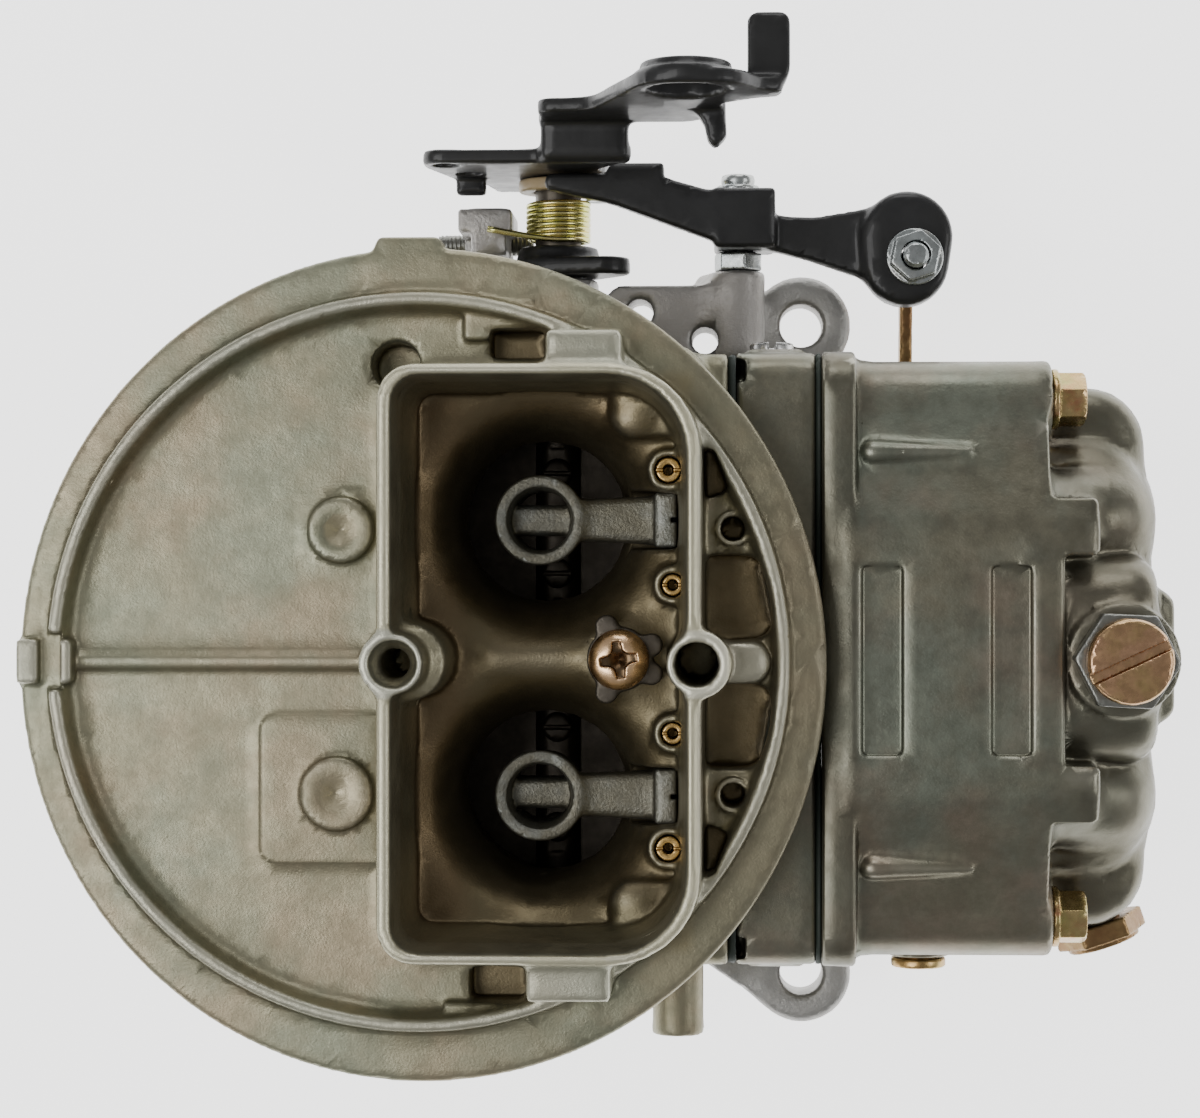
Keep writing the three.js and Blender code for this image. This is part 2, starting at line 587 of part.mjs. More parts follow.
const plug = cut(
  join(rod("y", 5.2, -59.7, -57.8, PUMP_X, 40), rod("y", 3.9, -58, -46, PUMP_X, 40)),
  block(PUMP_X - 4, PUMP_X + 4, -62, -58.9, 39.4, 40.6),
);
add("sight_plug", plug, BRASS);
const fitting = cut(
  join(rod("z", 8.8, 8.2, 12, 0, 0, 6), rod("z", 4.5, -3, 9, 0, 0), rod("z", 7, 11.8, 13, 0, 0)),
  rod("z", 3.4, -5, 15, 0, 0),
);
add("inlet_fitting", turned(fitting), BRONZE);

// ---- accelerator pump ----
const LEVER_PIN_Y = 46;
const LEVER_PIN_Z = -0.5;
function pumpCover() {
  const solids = [
    rod("z", 21, -3.5, 3.7, PUMP_X, PUMP_Y),
    block(PUMP_X - 6, PUMP_X + 6, 30, 50, -4, 3.7),
  ];
  const holes = [
    rod("z", 17, -1, 5, PUMP_X, PUMP_Y),
    block(PUMP_X - 2.4, PUMP_X + 2.4, 12, 55, -6, 5),
    rod("x", 1.8, 60, 80, LEVER_PIN_Y, LEVER_PIN_Z),
  ];
  return cut(join(solids), holes);
}
add("pump_cover", pumpCover(), GREY);
const diaphragm = join(
  rod("z", 16.6, 2.6, 4, PUMP_X, PUMP_Y),
  rod("z", 5, 1.9, 3, PUMP_X, PUMP_Y),
);
add("pump_diaphragm", diaphragm, RUBBER);
const diaphragmLever = cut(
  join(
    prism("x", link(BOLT_Y, 4, 2.5, LEVER_PIN_Y, LEVER_PIN_Z, 3.1), 69.2, 71.8),
    prism("x", link(LEVER_PIN_Y, LEVER_PIN_Z, 3.1, 19, -0.4, 1.9), 69.2, 71.8),
  ),
  rod("x", 1.8, 60, 80, LEVER_PIN_Y, LEVER_PIN_Z),
);
add("pump_diaphragm_lever", diaphragmLever, BRONZE);
add("pump_lever_pin", rod("x", 1.5, 63.5, 77.5, LEVER_PIN_Y, LEVER_PIN_Z), STEEL);

function pumpLever() {
  const bar = [
    [-2, 91.4, 1.5], [11.2, 88.4], [30.1, 81.4], [33, 80.6], [33, 91.2], [30.1, 91.1], [23.8, 92.9],
    [21.6, 93.7], [21.6, 96.4, 0.6], [17.6, 96.7, 0.6], [15, 94.4], [-2, 94.4, 1.5],
  ];
  const arm = [[42, 86.4], [42, 79.7], [50, 77.6], [62, 73.5], [62, 87.6], [51, 85.8]];
  const solids = [
    prism("z", rounded(bar), 22.4, 27),
    rod("y", 1.6, 92, 94, 0, 23.2),
    block(31.4, 43.5, 79.7, 91.4, 10, 27),
    prism("z", rounded(arm), 18, 24),
    prism("z", link(69.4, 81.8, 9, 69.2, 76.6, 8.4), 17.5, 26),
  ];
  const holes = [
    rod("y", 3.4, 75, 95, PUMP_PIVOT_X, PUMP_PIVOT_Z),
    rod("z", 2.9, 10, 30, BOLT_X, BOLT_Y),
  ];
  return cut(join(solids), holes);
}
add("pump_lever", pumpLever(), BLACK);
const stud = join(
  rod("y", 3, 63, 94.6, PUMP_PIVOT_X, PUMP_PIVOT_Z),
  rod("y", 4.8, 76, 79.4, PUMP_PIVOT_X, PUMP_PIVOT_Z, 6),
  rod("y", 4.3, 91.7, 93, PUMP_PIVOT_X, PUMP_PIVOT_Z),
);
add("pump_lever_stud", stud, ZINC);
add("pump_bolt", rod("z", 2.6, 6.9, 31.2, BOLT_X, BOLT_Y), ZINC);
const lockNut = cut(
  join(rod("z", 5.6, 26.3, 27.2, BOLT_X, BOLT_Y), rod("z", 4.95, 27, 30.2, BOLT_X, BOLT_Y, 6)),
  rod("z", 2.9, 20, 35, BOLT_X, BOLT_Y),
);
add("pump_bolt_nut", lockNut, ZINC);

function helix(axis, r, wire, from, to, turns, x, other, perTurn = 8) {
  const points = [];
  const steps = turns * perTurn;
  for (let k = 0; k <= steps; k++) {
    const t = (2 * Math.PI * k) / perTurn;
    const h = from + ((to - from) * k) / steps;
    const u = r * Math.cos(t);
    const v = r * Math.sin(t);
    points.push(axis === "y" ? [x + u, h, other + v] : [x + u, other + v, h]);
  }
  return tube(points, wire, steps);
}
add("pump_bolt_spring", helix("z", 4, 0.55, 8.2, 16.6, 5, BOLT_X, BOLT_Y, 9), STEEL);

// ---- throttle shaft, plates and linkage ----
const plateScrews = both((s) => [-10, 10].map((d) => s * BORE_Y + d)).flat();
function shaft() {
  const solids = [rod("y", SHAFT_R, -66, 100.5, 0, SHAFT_Z), rod("y", 7, -67.5, -64.2, 0, SHAFT_Z)];
  const holes = [
    both((s) => block(-6, 6, s * BORE_Y - 18.9, s * BORE_Y + 18.9, SHAFT_Z - 1, SHAFT_Z + 1)),
    both((s) => block(-6, 6, s * BORE_Y - 15, s * BORE_Y + 15, SHAFT_Z + 4.2, SHAFT_Z + 6)),
    plateScrews.map((y) => rod("z", 1.8, 0, 30, 0, y)),
  ];
  return cut(join(solids), holes);
}
add("throttle_shaft", shaft(), ZINC);
both((s) => s).forEach((s) => {
  const plate = cut(
    rod("z", BORE_R - 0.35, SHAFT_Z - 0.75, SHAFT_Z + 0.75, 0, s * BORE_Y),
    [-10, 10].map((d) => rod("z", 1.8, 0, 30, 0, s * BORE_Y + d)),
  );
  add(`throttle_plate_${s > 0 ? "l" : "r"}`, plate, BRASS);
});
plateScrews.forEach((y, i) => {
  const screw = cut(
    join(rod("z", 3, SHAFT_Z + 4.2, SHAFT_Z + 5.6, 0, y), rod("z", 1.5, 8.2, 18, 0, y)),
    block(-4, 4, y - 0.4, y + 0.4, SHAFT_Z + 5, SHAFT_Z + 7),
  );
  add(`plate_screw_${i + 1}`, screw, BRASS);
});

const shaftHole = (r = SHAFT_R + GAP) => rod("y", r, 70, 110, 0, SHAFT_Z);
function throttleLever() {
  const plateA = rounded([
    [-25.3, 38, 4], [-25.3, 30, 4], [-21.5, 14.5, 3], [-15.5, 4, 2], [-13.9, -7.4, 1.5], [-9, -7.4, 1.5],
    [-3, 1.5, 3], [8, 3, 5], [10.5, 14, 6], [8.5, 26, 4], [15, 38],
  ]);
  const outer = rounded([
    [-2, 38], [27, 38, 3], [33, 45], [33, 57, 3], [39, 62, 3], [45.4, 64, 2], [45.4, 69, 1.5], [40, 71, 4],
    [35, 79.5, 8], [19, 79.5, 8], [8, 50.5, 4], [-2, 48.5, 3],
  ]);
  const tab = rounded([[37.6, 65.5], [45.4, 65.5], [45.4, 68.5, 1], [37.6, 68.5]]);
  const plateB = join(
    prism("y", outer, 0, 2.7),
    rod("y", 8.4, 1, 5, 26.4, 70.5),
    prism("y", tab, 1, 15),
    block(30.3, 33, -6, 1, 46, 54),
  );
  const tilted = plateB.translate([0, 0, -40]).rotate([-3, 0, 0]).translate([0, 101.4, 40]);
  const solids = [
    prism("y", plateA, 95, 97.7),
    block(-2, 15, 95, 104, 37.4, 40.4),
    tilted,
    block(-20.5, -14.5, 91.6, 96, 13, 16),
  ];
  const holes = [
    shaftHole(),
    rod("y", 2.6, 90, 99, -20.8, 33.5),
    rod("y", 2.6, 90, 99, -17.2, 21),
    rod("y", 7, 95, 120, 26.4, 70.5),
  ];
  return cut(join(solids), holes);
}
add("throttle_lever", throttleLever(), BLACK);
const endNut = cut(rod("y", 7, 98.2, 100.4, 0, SHAFT_Z, 6), shaftHole());
add("shaft_nut", endNut, ZINC);
const stopLever = cut(
  join(
    prism("y", link(0, SHAFT_Z, 9, 9.5, 19, 5.2), 75, 78.4),
    prism("y", link(0, SHAFT_Z, 8, -2.5, 3.5, 4), 75, 78.4),
    block(-5.2, -2.6, 77, 85, 0.5, 6),
    rod("y", 8.2, 78, 81, 0, SHAFT_Z),
  ),
  shaftHole(),
);
add("stop_lever", stopLever, BLACK);

function cam() {
  const points = [];
  const rise = PUMP_PIVOT_X;
  const most = CAM_R + rise * Math.sin((PUMP_ANGLE * Math.PI) / 180);
  for (let deg = 0; deg < 360; deg += 7.5) {
    const lift = ((Math.min(deg, OPEN_ANGLE) * PUMP_ANGLE) / OPEN_ANGLE) * (Math.PI / 180);
    const fall = Math.min(1, Math.max(0, (deg - 120) / 90));
    const r = (CAM_R + rise * Math.sin(lift)) * (1 - fall) + CAM_R * fall;
    const t = (deg * Math.PI) / 180;
    points.push(new THREE.Vector2(Math.min(r, most) * Math.sin(t), SHAFT_Z + Math.min(r, most) * Math.cos(t)));
  }
  return cut(prism("y", points, 92.2, 94.6), shaftHole(), rod("y", 1.9, 90, 96, 8, 9));
}
add("pump_cam", cam(), TAN);
add("cam_screw", join(rod("y", 1.6, 91.4, 94.6, 8, 9), rod("y", 2.8, 90.8, 91.9, 8, 9)), ZINC);
add("throttle_spring", helix("y", 5.95, 0.6, 81.9, 90.1, 7, 0, SHAFT_Z), GOLD);
const idleScrew = cut(
  rod("x", 2.3, -25, -5.6, 82.5, 5),
  block(-26, -24, 78, 87, 4.5, 5.5),
);
add("idle_speed_screw", idleScrew, ZINC);

export default carburetor;
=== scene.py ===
import json
import math

import bpy
import numpy as np
import openvdb
from mathutils import Matrix, Vector

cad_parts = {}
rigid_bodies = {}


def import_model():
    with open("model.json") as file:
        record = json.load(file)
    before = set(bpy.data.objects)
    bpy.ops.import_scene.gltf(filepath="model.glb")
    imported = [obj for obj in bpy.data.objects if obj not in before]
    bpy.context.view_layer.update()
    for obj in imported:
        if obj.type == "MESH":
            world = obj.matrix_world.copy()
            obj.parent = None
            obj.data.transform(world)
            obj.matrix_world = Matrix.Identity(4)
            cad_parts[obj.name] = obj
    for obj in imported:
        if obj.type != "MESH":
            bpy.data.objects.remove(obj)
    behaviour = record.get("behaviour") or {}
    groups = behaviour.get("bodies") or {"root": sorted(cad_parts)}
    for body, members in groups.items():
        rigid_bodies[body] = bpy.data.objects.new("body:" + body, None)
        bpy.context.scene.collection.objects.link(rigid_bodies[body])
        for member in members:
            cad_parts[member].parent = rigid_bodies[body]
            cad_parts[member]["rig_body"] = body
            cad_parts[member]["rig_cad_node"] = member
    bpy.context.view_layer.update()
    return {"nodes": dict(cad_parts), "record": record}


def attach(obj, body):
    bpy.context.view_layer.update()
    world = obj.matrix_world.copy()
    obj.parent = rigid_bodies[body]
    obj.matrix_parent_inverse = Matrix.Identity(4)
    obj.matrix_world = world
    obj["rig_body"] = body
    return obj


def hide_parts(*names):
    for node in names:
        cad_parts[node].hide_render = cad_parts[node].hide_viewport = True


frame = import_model()
MM = 0.001
COARSE = 1
SLOT = {s["node"]: s["material_slot"] for s in frame["record"]["subparts"]}
ARC_STEP = 0.2  # radians between the points of a rounded corner
SIDES = ((1, "l"), (-1, "r"))
AXES = {"x": (1, 2, 0), "y": (0, 2, 1), "z": (0, 1, 2)}  # the two directions across an axis, then the axis


# ---------------------------------------------------------------- shapes (distance functions, mm)
class Shape:
    """A distance function of x, y, z, and the box that holds the shape."""

    def __init__(self, lo, hi, fn):
        self.lo = np.array(lo, float)
        self.hi = np.array(hi, float)
        self.fn = fn


def extrude(d2, w, r):
    """The distance to an outline d2 that is w deep, with its edges rounded by r."""
    a = d2 + r
    b = w + r
    inside = np.minimum(np.maximum(a, b), 0)
    return inside + np.hypot(np.maximum(a, 0), np.maximum(b, 0)) - r


def polygon(points, u, v):
    """The signed distance to a closed polygon."""
    d = None
    sign = np.ones(np.broadcast(u, v).shape, bool)
    n = len(points)
    for i in range(n):
        (ax, ay), (bx, by) = points[i], points[i - 1]
        ex, ey = bx - ax, by - ay
        wx, wy = u - ax, v - ay
        t = np.clip((wx * ex + wy * ey) / (ex * ex + ey * ey + 1e-12), 0, 1)
        q = (wx - ex * t) ** 2 + (wy - ey * t) ** 2
        d = q if d is None else np.minimum(d, q)
        above, below, left = v >= ay, v < by, ex * wy > ey * wx
        sign ^= (above & below & left) | (~above & ~below & ~left)
    return np.where(sign, 1.0, -1.0) * np.sqrt(d)


def rounded(corners):
    """The polygon of corners (u, v) or (u, v, radius), with arcs at those that have a radius."""
    out = []
    n = len(corners)
    for i, c in enumerate(corners):
        p = np.array(c[:2], float)
        r = c[2] if len(c) > 2 else 0
        if r == 0:
            out.append(tuple(p))
            continue
        a = np.array(corners[i - 1][:2], float) - p
        b = np.array(corners[(i + 1) % n][:2], float) - p
        a /= np.linalg.norm(a)
        b /= np.linalg.norm(b)
        half = math.acos(float(np.clip(a @ b, -1, 1))) / 2
        mid = (a + b) / np.linalg.norm(a + b)
        c0 = p + mid * r / math.sin(half)
        s = p + a * r / math.tan(half) - c0
        e = p + b * r / math.tan(half) - c0
        t0, t1 = math.atan2(s[1], s[0]), math.atan2(e[1], e[0])
        sweep = (t1 - t0 + math.pi) % (2 * math.pi) - math.pi
        steps = max(3, int(abs(sweep) / ARC_STEP))
        for k in range(steps + 1):
            t = t0 + sweep * k / steps
            out.append((c0[0] + r * math.cos(t), c0[1] + r * math.sin(t)))
    return out


def rect(u0, u1, v0, v1, *radii):
    """The corners of a rectangle, with one radius for all or one for each."""
    a, b, c, d = radii * (4 // len(radii))
    return [(u0, v0, a), (u1, v0, b), (u1, v1, c), (u0, v1, d)]


def link(u1, v1, r1, u2, v2, r2):
    """The outline round two circles and their outer tangents."""
    along = math.atan2(v2 - v1, u2 - u1)
    spread = math.acos((r1 - r2) / math.hypot(u2 - u1, v2 - v1))
    out = []
    for u, v, r, t0, t1 in (
        (u1, v1, r1, along + spread, along + 2 * math.pi - spread),
        (u2, v2, r2, along - spread, along + spread),
    ):
        steps = max(4, int((t1 - t0) / ARC_STEP))
        for k in range(steps + 1):
            t = t0 + (t1 - t0) * k / steps
            out.append((u + r * math.cos(t), v + r * math.sin(t)))
    return out


def limits(axis, u0, u1, v0, v1, w0, w1):
    """The low and the high corner of a box, from its limits across an axis (u, v) and along it (w)."""
    lo, hi = [0, 0, 0], [0, 0, 0]
    for i, a, b in zip(AXES[axis], (u0, v0, w0), (u1, v1, w1)):
        lo[i], hi[i] = a, b
    return lo, hi


def prism(axis, corners, lo, hi, r=0.4):
    """An outline, with corners as for rounded(), extruded along an axis from lo to hi."""
    iu, iv, iw = AXES[axis]
    pts = rounded(corners)
    us, vs = zip(*pts)
    mid, half = (lo + hi) / 2, (hi - lo) / 2

    def fn(*c):
        return extrude(polygon(pts, c[iu], c[iv]), abs(c[iw] - mid) - half, r)

    return Shape(*limits(axis, min(us), max(us), min(vs), max(vs), lo, hi), fn)


def rod(axis, radius, lo, hi, a, b, r=0.4, end=None):
    """A cylinder along an axis, or a cone when end is its radius at hi."""
    iu, iv, iw = AXES[axis]
    big = max(radius, end or radius)
    mid, half = (lo + hi) / 2, (hi - lo) / 2

    def fn(*c):
        d = np.hypot(c[iu] - a, c[iv] - b)
        w = c[iw]
        if end is None:
            return extrude(d - radius, abs(w - mid) - half, r)
        slope = (end - radius) / (hi - lo)
        side = (d - (radius + (w - lo) * slope)) / math.hypot(1, slope)
        return extrude(side, abs(w - mid) - half, r)

    return Shape(*limits(axis, a - big, a + big, b - big, b + big, lo, hi), fn)


def rods(axis, radius, lo, hi, places, r=0.4, end=None):
    """The same rod at each of the places."""
    return [rod(axis, radius, lo, hi, a, b, r, end) for a, b in places]


def block(x0, x1, y0, y1, z0, z1, r=0.6):
    """A box with rounded edges."""
    c = [(x0 + x1) / 2, (y0 + y1) / 2, (z0 + z1) / 2]
    e = [(x1 - x0) / 2, (y1 - y0) / 2, (z1 - z0) / 2]

    def fn(x, y, z):
        qx, qy, qz = (abs(w - m) - half + r for w, m, half in zip((x, y, z), c, e))
        out = np.sqrt(np.maximum(qx, 0) ** 2 + np.maximum(qy, 0) ** 2 + np.maximum(qz, 0) ** 2)
        return out + np.minimum(np.maximum(np.maximum(qx, qy), qz), 0) - r

    return Shape([x0, y0, z0], [x1, y1, z1], fn)


def spin(profile, cx, cy, axis="z", r=0.0):
    """A profile [(radius, height)], closed by its mirror image, turned round an axis."""
    iu, iv, iw = AXES[axis]
    big = max(p[0] for p in profile)
    heights = [p[1] for p in profile]
    pts = profile + [(-u, v) for u, v in reversed(profile)]

    def fn(*c):
        d = np.hypot(c[iu] - cx, c[iv] - cy)
        w = np.ravel(c[iw])
        step = 0.12
        rr = np.arange(0, d.max() + 2 * step, step)
        table = polygon(pts, rr[:, None], w[None, :]) - r
        i = np.minimum((d / step).astype(np.int32), len(rr) - 2)
        f = d / step - i
        i2 = np.squeeze(i, axis=iw)
        f2 = np.squeeze(f, axis=iw)[..., None]
        out = table[i2] * (1 - f2) + table[i2 + 1] * f2
        return np.moveaxis(out, -1, iw)

    return Shape(*limits(axis, cx - big, cx + big, cy - big, cy + big, min(heights), max(heights)), fn)


def capsule(p, q, r1, r2=None):
    """A bar with round ends from p to q, of radius r1 at p and r2 at q."""
    p, q = np.array(p, float), np.array(q, float)
    r2 = r1 if r2 is None else r2
    e = q - p
    big = max(r1, r2)

    def fn(x, y, z):
        wx, wy, wz = x - p[0], y - p[1], z - p[2]
        t = np.clip((wx * e[0] + wy * e[1] + wz * e[2]) / (e @ e), 0, 1)
        away = np.sqrt((wx - e[0] * t) ** 2 + (wy - e[1] * t) ** 2 + (wz - e[2] * t) ** 2)
        return away - (r1 + (r2 - r1) * t)

    return Shape(np.minimum(p, q) - big, np.maximum(p, q) + big, fn)


def drafted(x0, x1, y0, y1, radii, z0, z1, draft, r=0.4):
    """A prism along z whose section is smaller by draft on each side at its lower end."""
    pts = rounded(rect(x0, x1, y0, y1, *radii))
    mid, half = (z0 + z1) / 2, (z1 - z0) / 2
    slope = draft / (z1 - z0)

    def fn(x, y, z):
        return extrude(polygon(pts, x, y) + (z1 - z) * slope, abs(z - mid) - half, r)

    g = abs(min(draft, 0)) + 0.1
    return Shape([x0 - g, y0 - g, z0], [x1 + g, y1 + g, z1], fn)


def turned(shape, pivot, axis, degrees):
    """The shape turned about an axis through pivot."""
    t = math.radians(degrees)
    i, j = {"x": (1, 2), "y": (2, 0), "z": (0, 1)}[axis]
    co, si = math.cos(t), math.sin(t)
    corners = np.array([[(shape.lo, shape.hi)[k >> n & 1][n] for n in range(3)] for k in range(8)])
    rel = corners - pivot
    out = rel.copy()
    out[:, i] = rel[:, i] * co - rel[:, j] * si
    out[:, j] = rel[:, i] * si + rel[:, j] * co
    out += pivot

    def fn(*c):
        c = list(c)
        a, b = c[i] - pivot[i], c[j] - pivot[j]
        c[i] = a * co + b * si + pivot[i]
        c[j] = -a * si + b * co + pivot[j]
        return shape.fn(*c)

    return Shape(out.min(0), out.max(0), fn)


def moved(shape, dx, dy, dz):
    by = (dx, dy, dz)
    return Shape(shape.lo + by, shape.hi + by, lambda x, y, z: shape.fn(x - dx, y - dy, z - dz))


def scaled_x(shape, cx, k):
    """The shape stretched by k along X about cx."""
    lo, hi = shape.lo.copy(), shape.hi.copy()
    lo[0], hi[0] = cx + (lo[0] - cx) * k, cx + (hi[0] - cx) * k
    return Shape(lo, hi, lambda x, y, z: shape.fn(cx + (x - cx) / k, y, z))


def threaded(axis, radius, lo, hi, a, b, pitch, depth):
    """A rod with a helical thread cut in it."""
    iu, iv, iw = AXES[axis]
    base = rod(axis, radius, lo, hi, a, b, 0.2)

    def fn(*c):
        u, v, w = c[iu] - a, c[iv] - b, c[iw]
        turn = (w / pitch - np.arctan2(v, u) / (2 * math.pi)) % 1.0
        return np.maximum(base.fn(*c), np.hypot(u, v) - radius + depth * 2 * abs(turn - 0.5))

    return Shape(base.lo, base.hi, fn)


def hexagon(r, turn, a=0.0, b=0.0):
    """A hexagon of corner radius r about (a, b)."""
    angles = [math.radians(60 * k + turn) for k in range(6)]
    return [(a + r * math.cos(t), b + r * math.sin(t)) for t in angles]


def both(make):
    """The same shape on the +Y and the -Y side."""
    return [make(1), make(-1)]


def span(s, a, b):
    """The limits a and b along Y, on the side s."""
    return sorted((s * a, s * b))


# ---------------------------------------------------------------- fields to meshes
FAR = 10.0  # the distance given to space that no shape reaches, mm
BAND = 3  # voxels kept on each side of the surface
FLATNESS = 0.15  # how readily openvdb joins the faces of flat areas


def carve(steps, h):
    """Adds and cuts shapes in order, on voxels h wide, and returns vertices (mm), triangles and quads.

    A step is (1 to add or -1 to cut, a shape or a list of them, the width of the blend).
    """
    flat = []
    for sign, shapes, k in steps:
        stack = shapes if isinstance(shapes, list) else [shapes]
        while any(isinstance(s, list) for s in stack):
            stack = [t for s in stack for t in (s if isinstance(s, list) else [s])]
        flat += [(sign, s, k) for s in stack]
    lo = np.min([s.lo for sign, s, k in flat if sign > 0], axis=0) - BAND * h
    hi = np.max([s.hi for sign, s, k in flat if sign > 0], axis=0) + BAND * h
    n = np.ceil((hi - lo) / h).astype(int) + 1
    d = np.full(n, FAR, np.float32)
    axes = [(lo[i] + h * np.arange(n[i])).astype(np.float32) for i in range(3)]
    for sign, s, k in flat:
        pad = k + BAND * h
        i0 = np.clip(np.floor((s.lo - pad - lo) / h).astype(int), 0, n)
        i1 = np.clip(np.ceil((s.hi + pad - lo) / h).astype(int) + 1, 0, n)
        if (i1 <= i0).any():
            continue
        x = axes[0][i0[0] : i1[0], None, None]
        y = axes[1][None, i0[1] : i1[1], None]
        z = axes[2][None, None, i0[2] : i1[2]]
        sub = d[i0[0] : i1[0], i0[1] : i1[1], i0[2] : i1[2]]
        q = (s.fn(x, y, z) * sign).astype(np.float32)
        result = np.minimum(sub, q) if sign > 0 else np.maximum(sub, q)
        if k:
            t = np.maximum(k - abs(sub - q), 0) / k
            result -= sign * (t * t * k * 0.25)
        sub[...] = result
    grid = openvdb.FloatGrid(float(BAND))
    grid.copyFromArray(np.clip(d / h, -BAND, BAND).astype(np.float32))
    points, tris, quads = grid.convertToPolygons(isovalue=0.0, adaptivity=FLATNESS)
    return points * h + lo, tris, quads


def mesh_object(name, points, faces):
    mesh = bpy.data.meshes.new(name)
    mesh.from_pydata([tuple(p) for p in points], [], faces)
    mesh.validate()
    o = bpy.data.objects.new(name, mesh)
    bpy.context.scene.collection.objects.link(o)
    return o


def signed_volume(mesh):
    """Six times the volume: negative when the faces point inwards."""
    mesh.calc_loop_triangles()
    n = len(mesh.loop_triangles)
    tri = np.zeros(n * 3, np.int32)
    mesh.loop_triangles.foreach_get("vertices", tri)
    co = np.zeros(len(mesh.vertices) * 3, np.float32)
    mesh.vertices.foreach_get("co", co)
    t = co.reshape(-1, 3)[tri.reshape(-1, 3)].astype(float)
    return float(np.einsum("ij,ij->i", t[:, 0], np.cross(t[:, 1], t[:, 2])).sum())


def dress(o, node, material):
    """Shades a piece smooth, gives it its material and body, and hides the CAD node that it stands in for.
    """
    o.data.polygons.foreach_set("use_smooth", [True] * len(o.data.polygons))
    if signed_volume(o.data) < 0:
        o.data.flip_normals()
    o.data.materials.append(material)
    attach(o, frame["nodes"][node]["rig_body"])
    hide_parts(node)


def finish_piece(node, points, tris, quads, material, name=None):
    faces = [tuple(int(i) for i in f)[::-1] for f in (*tris, *quads)]
    dress(mesh_object(name or "look_" + node, np.array(points) * MM, faces), node, material)


def piece(node, steps, h, material, name=None):
    """A carved piece in place of a CAD node, named look_ and the node unless name says otherwise."""
    finish_piece(node, *carve(steps, h * COARSE), material, name)


def copies(pairs, steps, h, material):
    """One carved shape put down several times: pairs are (node, (dx, dy, dz))."""
    points, tris, quads = carve(steps, h * COARSE)
    for node, offset in pairs:
        finish_piece(node, points + np.array(offset), tris, quads, material)


def wire(name, node, path, radius, material, sides=12):
    """A round wire swept along a path of points (mm), with closed ends."""
    p = np.array(path, float)
    tangent = np.gradient(p, axis=0)
    tangent /= np.linalg.norm(tangent, axis=1)[:, None]
    normal = np.cross(tangent[0], (0.3, 0.2, 0.9))
    rings = []
    for q, t in zip(p, tangent):
        normal = normal - t * (normal @ t)
        normal /= np.linalg.norm(normal)
        side = np.cross(t, normal)
        for a in np.arange(sides) * 2 * math.pi / sides:
            rings.append(q + radius * (math.cos(a) * normal + math.sin(a) * side))
    last = (len(p) - 1) * sides
    quads = []
    for i in range(0, last, sides):
        for j in range(sides):
            k = (j + 1) % sides
            quads.append((i + j, i + k, i + sides + k, i + sides + j))
    caps = [tuple(range(sides))[::-1], tuple(range(last, last + sides))]
    dress(mesh_object(name, np.array(rings) * MM, quads + caps), node, material)


# ---------------------------------------------------------------- materials
BSDF = "Principled BSDF"


